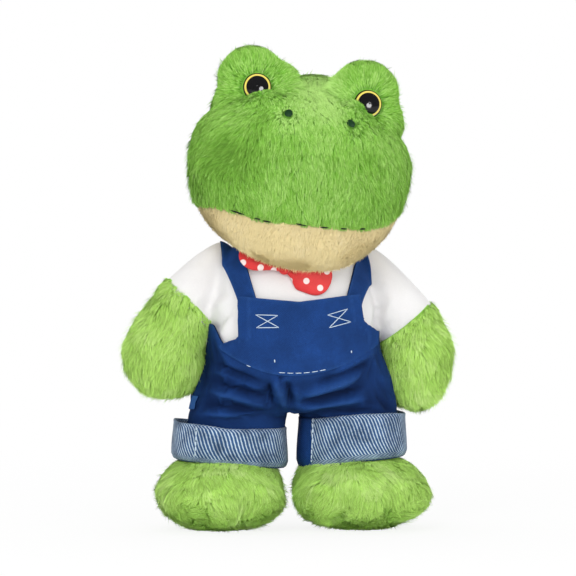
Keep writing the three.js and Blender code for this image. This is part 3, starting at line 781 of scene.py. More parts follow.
def pixel_ray(x, y):
    """Start and direction of the line of sight through a pixel of the photograph."""
    matrix = camera_matrix()
    half = PHOTO_SIDE / 2
    way = Vector(((x - half) * PIXEL, (half - y) * PIXEL, -VIEW_FAR))
    return matrix.translation, (matrix.to_3x3() @ way).normalized()


def seen_on(tree, x, y):
    """Place and normal where the line of sight through a pixel meets a surface."""
    start, way = pixel_ray(x, y)
    place, normal, _, _ = tree.ray_cast(start, way)
    if place is None:
        raise RuntimeError(f"nothing lies under pixel {x}, {y}")
    return place, normal


# Threads


def thread(points, radius, sides=6):
    """A round thread along points, closed at both ends. Returns points and faces."""
    line = np.asarray(points, float)
    along = unit(np.gradient(line, axis=0))
    ref = np.array([0.0, 0.0, 1.0]) if abs(along[0][2]) < 0.9 else np.array([1.0, 0.0, 0.0])
    side = unit(np.cross(along, ref))
    other = np.cross(along, side)
    turn = np.linspace(0, 2 * math.pi, sides, endpoint=False)[:, None]
    taper = np.ones(len(line))
    taper[0] = taper[-1] = 0.45
    rings = [line[k] + radius * taper[k] * (np.cos(turn) * side[k] + np.sin(turn) * other[k])
             for k in range(len(line))]
    return np.concatenate([*rings, line[:1], line[-1:]]), tube_faces(len(line), sides)


def gathered(name, parts, material):
    """One object of several separate closed parts."""
    return make_mesh(name, *joined(parts), look(material))


def sewn_line(tree, pixels, radius, stitch, gap, proud=0.3, samples=5):
    """Running stitches on a surface, under a line of photograph pixels."""
    corners = [seen_on(tree, x, y) for x, y in pixels]
    way = np.array([list(p + n * radius * proud) for p, n in corners])
    steps = np.linalg.norm(np.diff(way, axis=0), axis=1)
    total = np.concatenate([[0], np.cumsum(steps)])
    parts, start = [], 0.0
    while start < total[-1] - min(stitch * 0.4, total[-1] / 2):
        end = min(start + stitch, total[-1])
        at = np.linspace(start, end, samples)
        line = np.stack([np.interp(at, total, way[:, k]) for k in range(3)], 1)
        parts.append(thread(line, radius))
        start = end + gap
    return parts


def finely(pixels, step=4):
    """More points along a line of pixels."""
    out = []
    for (x0, y0), (x1, y1) in zip(pixels, pixels[1:]):
        count = max(2, int(math.hypot(x1 - x0, y1 - y0) / step) + 1)
        out += [(x0 + (x1 - x0) * t, y0 + (y1 - y0) * t) for t in np.linspace(0, 1, count, endpoint=False)]
    return out + [pixels[-1]]


# Cloth skins


def cut(points, triangles, value, extras=()):
    """The part of a skin where value is above 0, cut cleanly along its edge.

    extras are arrays with a row for each point, carried along. Returns points, triangles, extras.
    """
    inside = value > 0
    hits = inside[triangles].sum(1)
    whole = triangles[hits == 3]
    extras = [np.asarray(e, float) for e in extras]
    new_points, new_extras, made = [], [[] for _ in extras], []
    known, count = {}, len(points)

    def crossing(i, j):
        nonlocal count
        key = (min(i, j), max(i, j))
        if key not in known:
            t = value[i] / (value[i] - value[j])
            new_points.append(points[i] + (points[j] - points[i]) * t)
            for store, e in zip(new_extras, extras):
                store.append(e[i] + (e[j] - e[i]) * t)
            known[key] = count
            count += 1
        return known[key]

    for triangle in triangles[(hits == 1) | (hits == 2)]:
        ins = [k for k in range(3) if inside[triangle[k]]]
        if len(ins) == 1:
            a = ins[0]
            i, j, k = triangle[a], triangle[(a + 1) % 3], triangle[(a + 2) % 3]
            made.append((i, crossing(i, j), crossing(i, k)))
        else:
            out = ({0, 1, 2} - set(ins)).pop()
            i, j, k = triangle[out], triangle[(out + 1) % 3], triangle[(out + 2) % 3]
            first, second = crossing(i, j), crossing(i, k)
            made.append((j, k, first))
            made.append((k, second, first))
    triangles = np.concatenate([whole, np.array(made, np.int64).reshape(-1, 3)])
    all_points = np.concatenate([points, np.array(new_points).reshape(-1, 3)])
    all_extras = [np.concatenate([e, np.array(s).reshape(-1, *e.shape[1:])]) for e, s in zip(extras, new_extras)]
    used, inverse = np.unique(triangles, return_inverse=True)
    return all_points[used], inverse.reshape(-1, 3), [e[used] for e in all_extras]


def trimmed(skin, *values):
    """A skin cut along the edge of each value in turn, which is above 0 where the skin stays."""
    points, triangles, normals = skin
    while values:
        points, triangles, (normals, *values) = cut(points, triangles, values[0], (normals, *values[1:]))
    return points, triangles, unit(normals)


def rim_edges(triangles):
    """Directed edges that belong to one triangle only."""
    directed = np.concatenate([triangles[:, [0, 1]], triangles[:, [1, 2]], triangles[:, [2, 0]]])
    both = np.sort(directed, axis=1)
    _, first, uses = np.unique(both, axis=0, return_index=True, return_counts=True)
    return directed[first[uses == 1]]


def cloth_piece(name, skin, thickness, material, wear):
    """A sheet with two faces and a rim. The last argument holds, for each point of the outer face, how far wear and, on
    the trousers' fold crests, painted highlight make it paler (above 0), or how far painted shade darkens it (below 0).
    """
    points, triangles, normals = skin
    count = len(points)
    a, b = rim_edges(triangles).T
    rim = [np.stack([b, a, a + count], 1), np.stack([b, a + count, b + count], 1)]
    obj = make_mesh(name, np.concatenate([points, points - normals * thickness]),
                    [np.concatenate([triangles, triangles[:, ::-1] + count, *rim])], look(material),
                    normals=np.concatenate([normals, -normals]))
    layer = obj.data.attributes.new("wear", "FLOAT", "POINT")
    layer.data.foreach_set("value", np.concatenate([wear, wear * 0]).astype(np.float32))
    return obj


def fold(points, normals, ridges):
    """Moves points along their normals by soft ridges. Each ridge is in toy mm on the XZ plane:
    (x0, z0, x1, z1, half width, height, facing), where facing is -1 for the front and 1 for the back."""
    p = toy_local(points)
    push = np.zeros(len(points))
    for x0, z0, x1, z1, wide, high, facing in ridges:
        way = np.array([x1 - x0, z1 - z0], float)
        long = np.linalg.norm(way)
        way /= long
        along = (p[:, 0] - x0) * way[0] + (p[:, 2] - z0) * way[1]
        off = -(p[:, 0] - x0) * way[1] + (p[:, 2] - z0) * way[0]
        ends = smoothstep(-0.18 * long, 0.2 * long, along) * (1 - smoothstep(0.72 * long, 1.15 * long, along))
        side = smoothstep(-4, 8, facing * p[:, 1])
        shape = np.exp(-((off / wide) ** 2)) if high > 0 else np.exp(-(np.abs(off) / wide) ** 1.3)
        push += high * shape * ends * side * smoothstep(66, 80, p[:, 2])
    return points + normals * push[:, None] * MM


skins = {}


def tree_of(points, triangles):
    return BVHTree.FromPolygons([Vector(p) for p in points], triangles.tolist())


def head_flow(points, up):
    """Lie of the pile on the head: down the face, outward on the left cheek, away from the eyes on the bumps."""
    p = head_local(points)
    x, z = p[:, 0] - HEAD_SHIFT, p[:, 2]
    cheek = smoothstep(30, 62, -x) * smoothstep(14, 40, z)
    under = smoothstep(14, 34, -x) * (1 - smoothstep(20, 46, z))
    right = smoothstep(40, 74, x)
    crown = smoothstep(74, 92, z) * 0.8
    flow = np.stack([0.10 - 1.1 * cheek + 0.35 * under + 0.22 * right, -0.15 - crown, -1 + 0.45 * cheek], 1)
    behind = (smoothstep(-5, 30, p[:, 1]) * (1 - smoothstep(70, 90, z) * smoothstep(20, 8, p[:, 1])))[:, None]
    flow = flow * (1 - behind) + np.stack([0.2 * x / 76, 0 * x, -1 + 0 * x], 1) * behind
    top = smoothstep(76, 88, z) * smoothstep(-20, -6, p[:, 1]) * smoothstep(26, 16, np.abs(x - 4))
    top = np.maximum(top, smoothstep(70, 90, z) * smoothstep(-4, 12, p[:, 1]))
    flow += np.stack([0 * x, 2.6 * top, 0 * x], 1)
    for side in (1, -1):
        dx, dz = x - side * EYE_SPREAD, z - EYE_RISE
        far = np.hypot(dx, dz)
        near = (1 - smoothstep(20, 36, far)) * smoothstep(-8, 6, dz + 4 + 0.25 * side * dx)
        round_eye = np.stack([dx, 7 + 0 * dx, dz + 3], 1) / np.maximum(far, 1)[:, None]
        flow = unit(flow) * (1 - near[:, None]) + round_eye * near[:, None] * 1.3
    return flow @ HEAD_TURN.T


def head_painted_light(points):
    """Painted light and shade on the front of the head's pile, added to the tone of its strands: painted light most of
    all between the eyes, painted shade most of all on the left cheek.
    """
    p = head_local(points)
    x, z = p[:, 0] - HEAD_SHIFT, p[:, 2]

    def spot(cx, cz, wx, wz):
        return np.exp(-(((x - cx) / wx) ** 2) - ((z - cz) / wz) ** 2)

    tone = 0.62 * spot(4, 90, 21, 18) + 0.2 * spot(-20, 70, 16, 8) + 0.14 * spot(10, 30, 34, 24)
    tone -= 0.46 * spot(-46, 42, 18, 16) + 0.1 * spot(34, 45, 14, 26) + 0.2 * spot(-32, 68, 10, 7)
    tone += 0.22 * spot(-52, 66, 14, 8) + 0.2 * spot(46, 62, 14, 10)
    return tone * smoothstep(10, -20, p[:, 1] - 22 * smoothstep(70, 86, z))


def off_nostrils(p):
    """Distance in mm from the nearer nostril, across the face, for points in the head's frame."""
    off = [np.hypot(p[:, 0] - HEAD_SHIFT - x, p[:, 2] - z) for x, z in NOSTRILS.values()]
    return np.where(p[:, 1] < -20, np.minimum(*off), 99)


EYE_CLEAR, NOSTRIL_CLEAR = 10.2, 3.0  # no pile grows nearer to their middles, in mm


def off_eyes(p):
    """Distance in mm from the nearer eye, across the face, for points in the head's frame."""
    return np.minimum(*[np.hypot(p[:, 0] - HEAD_SHIFT - s * EYE_SPREAD, p[:, 2] - EYE_RISE) for s in (1, -1)])


def clear_of_face(points):
    """Roots that don't lie under an eye or a nostril."""
    p = head_local(points)
    under_eye = (off_eyes(p) < EYE_CLEAR) & (p[:, 1] > -45) & (p[:, 1] < -10)
    return (off_nostrils(p) > NOSTRIL_CLEAR) & ~under_eye


def head_shapes(grow):
    """The forms of the head, in its own frame: the big form, the chin, the eye bumps and the brow below each eye."""
    def soft(centre, radii):
        return ball(centre, tuple(r + grow for r in radii))
    shapes = [stuffed(HEAD, grow), soft((4, LOBE_FORWARD, 91), (30, 17, 14)), soft((0, -50, -4.3), (54, 27, 25.4))]
    shapes += [soft((-31, -45.2, 77.3), (19, 16, 11.8)), soft((25, -43, 78.5), (13, 15.5, 13))]
    shapes.append(soft((-25, LOBE_FORWARD, 96.5), (14.5, 16, 13.5)))
    for side, (x, z, r) in LOBES.items():
        shapes.append(soft((x, LOBE_FORWARD, z), (r, r, r)))
        shapes.append(soft((side * 43 - 2, LOBE_FORWARD + 2, z - 18), (r - 1, r + 2, r)))
    return shapes


HEAD_OPENING = 33  # radius of the opening over the neck
NECK_BARE = 54  # no green pile grows nearer to the neck's middle than this, under the head
HEAD_DENSITY, CHIN_DENSITY = 3.3, 4.2  # strands for each square millimetre
SEAM_FORWARD = -22  # where the front and back halves of the head's pile meet


class FROG_OT_head(bpy.types.Operator):
    """Green and cream skins of the head with their pile"""
    bl_idname = "frog.head"
    bl_label = "Head"

    def execute(self, context):
        sizes = context.scene.frog_sizes
        whole = melt(head_shapes(-sizes.skin_depth / MM), head_metres, 2.4, 9)
        local = head_local(whole[0])
        opening = np.where(local[:, 2] < 4, np.linalg.norm(local, axis=1) - HEAD_OPENING, 20)
        opening = opening + smoothstep(-44, -52, local[:, 1]) * 40
        seam = local[:, 2] - mouth_level(local[:, 0])
        green, cream = trimmed(whole, seam, opening), trimmed(whole, -seam, opening)
        skin_piece("head_backing", green, "green_backing", "head", "green_fur",
                   "head_skin", "head_stuffing", "left_eye_lobe", "right_eye_lobe")
        skin_piece("chin_backing", cream, "cream_backing", "head", "cream_fur", "chin_skin")
        for name, side, front in (("head_fur_left_front", 1, 1), ("head_fur_right_front", -1, 1),
                                  ("head_fur_left_back", 1, -1), ("head_fur_right_back", -1, -1)):
            def own(root, side=side, front=front):
                p = head_local(root)
                bare = (p[:, 2] < 4) & (np.linalg.norm(p, axis=1) < NECK_BARE)
                beside, before = side * (p[:, 0] - HEAD_SHIFT) > 0, front * (p[:, 1] - SEAM_FORWARD) < 0
                return clear_of_face(root) & beside & before & ~bare
            # The head's pile takes painted light and shade in the tone of its strands.
            pile = fur(name, green, "green_fur", HEAD_DENSITY, sizes.head_pile, sizes.strand_width, head_flow,
                       20 + side + 2 * front, own, scale=self.shorter, shade=head_painted_light, flatter=self.flatter,
                       field=20, lean=self.forward)
            dress(pile, "head", "green_fur")
        pile = fur("chin_fur", cream, "cream_pile", CHIN_DENSITY, sizes.chin_pile, sizes.strand_width * 0.85,
                   self.down_chin, 31, self.outer, lift=(40, 16), clump=0.0016, pull=0.06, wander=0.34,
                   locks=0.02, patches=0.06, grain=0.07, rough=0.07, lean=self.chin_lean,
                   flatter=self.hanging, stray=0.12, scale=self.bearded)
        dress(pile, "head", "cream_fur")
        return {"FINISHED"}

    def shorter(self, root):
        """Shorter pile round the eyes and nostrils and along the mouth."""
        p = head_local(root)
        edge = smoothstep(0, 7, p[:, 2] - mouth_level(p[:, 0]))
        near_eye = 0.5 + 0.5 * smoothstep(10, 20, off_eyes(p))
        return near_eye * (0.5 + 0.5 * smoothstep(4, 11, off_nostrils(p))) * (0.5 + 0.5 * edge)

    def flatter(self, root, up):
        """Flatter pile on the brow, round the nostrils and where the crown is seen edge on."""
        p = head_local(root)
        upper = smoothstep(40, 62, p[:, 2]) * smoothstep(0, -20, p[:, 1])
        sky = smoothstep(0.12, 0.5, up[:, 2]) * smoothstep(14, 26, off_eyes(p)) * smoothstep(30, 16, p[:, 1])
        return (1 - 0.7 * upper) * (1 - 0.4 * (1 - smoothstep(4, 14, off_nostrils(p)))) * (1 - 0.85 * sky)

    def forward(self, root):
        """Turns the shading of the pile to the front, most of all on the crown between the eyes."""
        p = head_local(root)
        share = smoothstep(62, 84, p[:, 2]) * smoothstep(34, 18, p[:, 1])
        share *= 1 - 0.6 * smoothstep(22, 34, np.abs(p[:, 0] - HEAD_SHIFT))
        share = np.maximum(share, 0.4 * smoothstep(20, -5, p[:, 1]))
        return share[:, None] * [-0.1, -0.8, 0.25]

    def down_chin(self, root, up):
        x = head_local(root)[:, 0]
        return np.stack([0.25 * x / 60, 0 * x - 0.25, 0 * x - 1], 1) @ HEAD_TURN.T

    def bearded(self, root):
        """Longer pile on the lower edge of the chin."""
        p = head_local(root)
        return 1 + 0.9 * smoothstep(-14, -28, p[:, 2]) * smoothstep(-20, -40, p[:, 1])

    def chin_lean(self, root):
        low = smoothstep(-10, -26, head_local(root)[:, 2])
        return np.stack([-0.1 + 0 * low, -0.4 - 1.0 * low, 0.4 + 0.4 * low], 1)

    def hanging(self, root, up):
        return 1 + 0.3 * smoothstep(-12, -25, head_local(root)[:, 2])

    def outer(self, root):
        """The part of the chin that can be seen."""
        p = head_local(root)
        return (np.linalg.norm(p, axis=1) > 44) | (p[:, 1] < -30)


def lathed(profile, sides=64):
    """A closed turned solid about the depth axis: profile of (radius, forward) in mm, closed on itself."""
    turn = np.linspace(0, 2 * math.pi, sides, endpoint=False)
    rings = [np.stack([r * np.cos(turn), np.full(sides, -f), r * np.sin(turn)], 1) for r, f in profile]
    return np.concatenate(rings), ring_quads(len(profile), sides, closed=True)


def rounded(corners, reach, steps=5):
    """A closed profile with its corners rounded."""
    out = []
    for k in range(len(corners)):
        a, b, c = (np.array(corners[(k + d) % len(corners)], float) for d in (-1, 0, 1))
        first, last = (b + (end - b) * min(0.5, reach / max(np.linalg.norm(end - b), 1e-9)) for end in (a, c))
        for t in np.linspace(0, 1, steps):
            out.append(tuple((1 - t) ** 2 * first + 2 * t * (1 - t) * b + t**2 * last))
    return out


# Profiles of the eye, each corner a radius and a height in mm; the rim's shank runs back into the head
AXIS = 0.02
EYE_RIM = [(AXIS, -9), (2.3, -9), (2.3, 0), (9.0, 0), (9.7, 1.2), (9.3, 2.6), (AXIS, 2.6)]
EYE_RING = [(7.4, 2.5), (8.75, 2.5), (8.75, 3.2), (8.3, 3.7), (7.6, 4.0), (7.4, 4.0)]
DOME_RADIUS, DOME_FOOT, DOME_SHOULDER, DOME_RISE = 7.6, 2.65, 3.2, 3.6


class FROG_OT_eyes(bpy.types.Operator):
    """Black rim, yellow ring and glossy dome of each eye"""
    bl_idname = "frog.eyes"
    bl_label = "Eyes"

    def execute(self, context):
        dome = [(AXIS, DOME_FOOT), (DOME_RADIUS, DOME_FOOT)]
        dome += [(DOME_RADIUS * math.cos(a), DOME_SHOULDER + DOME_RISE * math.sin(a))
                 for a in np.linspace(0, math.pi / 2 - 0.01, 18)]
        pieces = (("rim", rounded(EYE_RIM, 0.5), "black_plastic", ("rim", "washer")),
                  ("ring", rounded(EYE_RING, 0.25), "yellow_plastic", ("ring",)),
                  ("dome", dome, "black_plastic", ("pupil",)))
        for name, side in SIDES.items():
            place = np.array([HEAD_SHIFT + side * EYE_SPREAD, EYE_FRONT, EYE_RISE])
            outward = Matrix.Rotation(math.radians(5 * side), 3, "Z")
            turn = np.array(outward @ Matrix.Rotation(math.radians(-6), 3, "X"))
            for piece, profile, material, nodes in pieces:
                points, quads = lathed(profile)
                obj = make_mesh(f"{name}_eye_{piece}_smooth", head_metres(points @ turn.T + place), [quads],
                                look(material))
                dress(obj, "head", material, *(f"{name}_eye_{part}" for part in nodes))
        return {"FINISHED"}


# Start and end of each stitch of the mouth that shows, in pixels of the photograph
MOUTH_STITCHES = [((232, 210), (245, 214.5)), ((255, 218), (261, 219.5)), ((263, 220.5), (271.5, 222)),
                  ((296, 223.5), (306.5, 225.7)), ((320, 227), (328, 227.5)), ((340, 228.3), (346, 228.6)),
                  ((359, 228.6), (364, 228.3))]
NOSTRIL_HALF, NOSTRIL_WIDE, NOSTRIL_DOME, NOSTRIL_THREAD = 3.7, 2.35, 3.0, 0.42


class FROG_OT_face(bpy.types.Operator):
    """Embroidered nostrils and the stitches of the mouth"""
    bl_idname = "frog.face"
    bl_label = "Nostrils and Mouth"

    def execute(self, context):
        front = tree_of(*melt(head_shapes(-1.0), head_metres, 3, 6)[:2])
        for name in SIDES:
            x, z = NOSTRILS[name]
            start = head_metres([[HEAD_SHIFT + x, -120, z]])[0]
            place, normal, _, _ = front.ray_cast(Vector(start), Vector(HEAD_TURN @ [0, 1, 0]))
            across = Vector(HEAD_TURN @ [0, 0, 1]).cross(normal).normalized()
            up = normal.cross(across).normalized()
            parts = []
            for k in np.linspace(-1, 1, 9):
                half = NOSTRIL_HALF * MM * math.sqrt(max(0.06, 1 - (k * 0.96) ** 2))
                line = []
                for t in np.linspace(-1, 1, 9):
                    dome = NOSTRIL_DOME * MM * (1 - 0.6 * t * t) * (1 - 0.5 * k * k) - 0.5 * MM
                    line.append(list(place + across * (k * NOSTRIL_WIDE * MM) + up * (t * half) + normal * dome))
                parts.append(thread(line, NOSTRIL_THREAD * MM))
            dress(gathered(f"{name}_nostril_stitches", parts, "nostril_thread"), "head", "dark_thread",
                  f"{name}_nostril")
        radius = context.scene.frog_sizes.stitch * 0.78
        parts = []
        for ends in MOUTH_STITCHES:
            (start, out), (end, _) = (seen_on(front, *pixel) for pixel in ends)
            parts.append(thread([list(start.lerp(end, t) + out * 1.5 * MM) for t in np.linspace(0, 1, 5)], radius))
        dress(gathered("mouth_stitches", parts, "mouth_thread"), "head", "dark_thread")
        return {"FINISHED"}


SLEEVE_FOLDS = [
    (-57, 133, -42, 152, 2.0, -2.6, -1), (-63, 139, -45, 159, 3.4, 1.8, -1), (-61, 148, -50, 160, 1.8, -1.1, -1),
    (-50, 131, -45, 145, 2.4, 1.2, -1), (-70, 152, -56, 166, 3.0, 1.0, -1), (-44, 160, -47, 185, 3.0, 0.8, -1),
    (54, 132, 58, 152, 1.8, -2.4, -1), (49, 136, 52, 156, 2.8, 1.4, -1), (62, 140, 66, 158, 3.0, 1.4, -1),
    (58, 148, 52, 166, 2.2, -1.0, -1), (70, 150, 60, 168, 3.2, 1.0, -1), (45, 162, 50, 184, 3.0, 0.8, -1),
    (-57, 133, -44, 154, 2.4, -2.0, 1), (57, 133, 46, 154, 2.4, -2.0, 1), (-30, 150, -10, 130, 3.4, 0.9, 1),
    (28, 168, 12, 140, 3.4, 0.9, 1),
]


def past_seam(points, side):
    """Millimetres past the slanted seam of sleeve and mitt, along the arm."""
    p = toy_local(points)
    slant = math.radians(41 if side > 0 else 49)
    out = np.array([side * math.sin(slant), 0, -math.cos(slant)])
    shoulder = np.array([side * 53, 0, 174])
    return (p - shoulder) @ out - (45 if side > 0 else 28.5)


BODY_LOW, LINING_LOW = 116, 118  # lower edges of the body's cloth and of its lining, in toy mm
NECK_LEVEL, NECK_RADII = 206, (31, 29, 20)


class FROG_OT_body(bpy.types.Operator):
    """White cloth of the body and sleeves, and the neck"""
    bl_idname = "frog.body"
    bl_label = "Body and Sleeves"

    def execute(self, context):
        shapes = [stuffed(TORSO)] + [stuffed(arm_form(s), 0.3) for s in SIDES.values()]
        points, triangles, normals = melt(shapes, metres, 2.2, 16)
        p = toy_local(points)
        arm_side = self.arm_side(p)
        creases = ripple(points, 0.05, 5) * 0.35 + ripple(points, 0.018, 6) * 0.15
        points = fold(points + normals * (creases * MM)[:, None], normals, SLEEVE_FOLDS)
        normals = point_normals(points, triangles)
        q = toy_local(points)
        low = q[:, 2] - BODY_LOW - 9 * smoothstep(30, 46, np.abs(p[:, 0]))
        whole = points, triangles, normals
        skins["white"] = tree_of(points, triangles)
        skin_piece("body_skin", trimmed(whole, -arm_side, low), "white_cloth", "torso", "white_cloth",
                   "torso_skin", "torso_stuffing")
        for name, side in SIDES.items():
            own = np.where(side * q[:, 0] > 0, arm_side, -1)
            sleeve = skin_piece(f"{name}_sleeve_skin", trimmed(whole, own, 1.5 - past_seam(points, side)),
                                "white_cloth", None, "white_cloth", f"{name}_sleeve", fill=0.75)
            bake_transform(sleeve)
        under = melt([stuffed(TORSO, -2.2)], metres, 2.5, 4)
        q = toy_local(under[0])
        low = q[:, 2] - LINING_LOW - 7 * smoothstep(30, 46, np.abs(q[:, 0]))
        skin_piece("body_lining", trimmed(under, low), "white_cloth", "torso", "white_cloth")
        points, triangles, _ = melt([ball((0, NECK_SET_BACK, NECK_LEVEL), NECK_RADII)], metres, 2, 3)
        neck = make_mesh("neck_skin", points, [triangles], look("white_cloth"))
        dress(neck, "neck", "white_cloth", "neck", fill=0.8)
        return {"FINISHED"}

    def arm_side(self, p):
        """Millimetres past the seams between body and sleeves: above 0 in an arm."""
        value = np.full(len(p), -60.0)
        for side in SIDES.values():
            lean = np.clip((p[:, 2] - 126) / 69, 0, 1) ** 1.35
            beside = side * (p[:, 0] - (arm_form(side)["x"] - side * 40 * lean)) + 27.5
            out = side * p[:, 0]
            low = smoothstep(150, 138, p[:, 2])
            own = (out - 51.5) * (1 - low) + np.minimum(beside, out - 58.2) * low
            value = np.where(out > 0, own, value)
        return value


MITT_DENSITY, FOOT_DENSITY = 2.9, 2.8  # strands for each square millimetre


class FROG_OT_mitts(bpy.types.Operator):
    """Green fur mitts"""
    bl_idname = "frog.mitts"
    bl_label = "Mitts"

    def execute(self, context):
        sizes = context.scene.frog_sizes
        for name, side in SIDES.items():
            form = dict(arm_form(side), half_depth=25.5)
            form["half_width"] += 1.5
            points, triangles, normals = melt([stuffed(form, -sizes.skin_depth / MM)], metres, 2, 3)
            edge = past_seam(points, side)
            points = points + normals * (smoothstep(9, 0, edge) * 2.6 * MM)[:, None]
            skin = trimmed((points, triangles, normals), edge + 3)
            skin_piece(f"{name}_mitt_backing", skin, "limb_backing", f"{name}_arm", "green_fur",
                       f"{name}_mitt", f"{name}_arm_stuffing")

            def down_arm(root, up, side=side):
                p = toy_local(root)
                return np.stack([side * (0.25 + 0 * p[:, 0]), 0.1 * p[:, 1] / 24, -1 + 0 * p[:, 0]], 1)

            def upright(root, up, side=side):
                at_seam = 1 + 1.1 * smoothstep(5, -2, past_seam(root, side))
                return at_seam * (1 - 0.4 * smoothstep(0, 0.5, up[:, 2]))

            def lengths(root, side=side):
                return 0.55 + 0.45 * smoothstep(-3, 8, past_seam(root, side))

            pile = fur(f"{name}_mitt_fur", skin, "green_limb_fur", MITT_DENSITY, sizes.limb_pile, sizes.strand_width,
                       down_arm, 50 + side, lift=(34, 8), clump=0.0032, wander=0.42, scale=lengths, locks=0.08,
                       patches=0.1, flatter=upright, grain=0.15, lean=(0, -0.4, 0.25))
            dress(pile, f"{name}_arm", "green_fur")
        return {"FINISHED"}


FEET = {1: (45.3, 48.5), -1: (-50.6, 45.5)}  # middle and half width of each
TOE_GAP = 13  # from a foot's middle to the grooves beside the middle toe
FOOT_TOP = 52


def foot_shapes(side, grow):
    """The forms of a foot in toy mm: a wide soft pad and three low toes in a fan, the outer one a little raised."""
    x, wide = FEET[side]
    wide -= 1.5
    shapes = [stuffed({"x": x, "y": -10, "widest": 24, "high": 54, "low": -3.5, "half_width": wide,
                       "half_depth": 44, "high_round": 2.5, "low_round": 1.9, "high_lean": (-side * 5, 10),
                       "square": 2.15}, grow)]
    for place, low, widest in ((-1, 1.5, 23), (0, 0.5, 21), (1, 4.5, 26)):
        shapes.append(stuffed({"x": x + side * place * (wide - 23.5), "y": -30 + abs(place) * 8, "widest": widest,
                               "high": 42, "low": low, "half_width": 24, "half_depth": 30, "high_round": 2,
                               "low_round": 1.9}, grow))
    return shapes


def between_toes(p, side, narrow, front, high):
    """How near points lie to the two grooves between the toes."""
    near = sum(np.exp(-(((p[:, 0] - FEET[side][0] - k * TOE_GAP) / narrow) ** 2)) for k in (-1, 1))
    return near * smoothstep(-34, front, p[:, 1]) * smoothstep(high, 18, p[:, 2])


class FROG_OT_feet(bpy.types.Operator):
    """Green fur feet with three toes"""
    bl_idname = "frog.feet"
    bl_label = "Feet"

    def execute(self, context):
        sizes = context.scene.frog_sizes
        for name, side in SIDES.items():
            points, triangles, normals = melt(foot_shapes(side, -sizes.skin_depth / MM), metres, 2.2, 16)
            groove = between_toes(toy_local(points), side, 3.0, -46, 30)
            points = points - normals * (groove * 1.2 * MM)[:, None]
            points[:, 2] = np.maximum(points[:, 2], 0.7 * MM)
            normals = point_normals(points, triangles)
            skin = trimmed((points, triangles, normals), FOOT_TOP - toy_local(points)[:, 2])
            skin_piece(f"{name}_foot_backing", skin, "limb_backing", f"{name}_leg", "green_fur", f"{name}_foot")

            def over_foot(root, up, side=side):
                p = toy_local(root)
                return np.stack([(p[:, 0] - FEET[side][0]) / 38, (p[:, 1] - 4) / 60 - 0.1, -0.75 + 0 * p[:, 0]], 1)

            def lengths(root, side=side):
                return 1 - 0.5 * np.clip(between_toes(toy_local(root), side, 2.6, -44, 28), 0, 1)

            def flat_above(root, up):
                return 1 - 0.8 * smoothstep(0.1, 0.6, up[:, 2])

            pile = fur(f"{name}_foot_fur", skin, "green_limb_fur", FOOT_DENSITY, sizes.limb_pile, sizes.strand_width,
                       over_foot, 70 + side, lift=(28, 6), clump=0.0036, wander=0.55, scale=lengths,
                       floor=0.0004, locks=0.09, patches=0.14, grain=0.15, flatter=flat_above,
                       lean=(0, -0.45, 0.25), stray=0.03)
            dress(pile, f"{name}_leg", "green_fur")
        return {"FINISHED"}


def waist_seam(x):
    """Height of the curved seam under the bib."""
    return 107 + np.where(x < -6, 16.1 * (np.abs(x + 6) / 44.3) ** 1.96, 18.1 * (np.abs(x + 6) / 58.5) ** 2)


def bib_sides(p):
    """Distance in mm inside the two sides of the bib, which widens below the armholes."""
    x, z = p[:, 0], p[:, 2]
    left = x + 40.5 + 11.5 * smoothstep(131.5, 125.5, z)
    right = 42 + 3.7 * np.clip((159.5 - z) / 25.5, 0, 1) + 10 * smoothstep(142.5, 133, z) - x
    return np.minimum(left, right)


def bib_top(x):
    return np.interp(x, (-42, -33, 0, 31, 44), (158.6, 158.1, 155.2, 159.0, 159.6))


def trouser_top(p):
    """Upper edge of the trousers all round: the curved seam in front, the waist at the sides, raised behind."""
    x, y = p[:, 0], p[:, 1]
    side = np.where(x < 0, 127.5 + 12 * smoothstep(50, 57, -x), 126 + 8 * smoothstep(50, 57, x))
    front = np.where(np.abs(x) < 50, np.minimum(waist_seam(x) + 3, 126), side)
    behind = 134 + 16 * smoothstep(46, 28, np.abs(x))
    share = smoothstep(-14, 8, y)
    return front * (1 - share) + behind * share


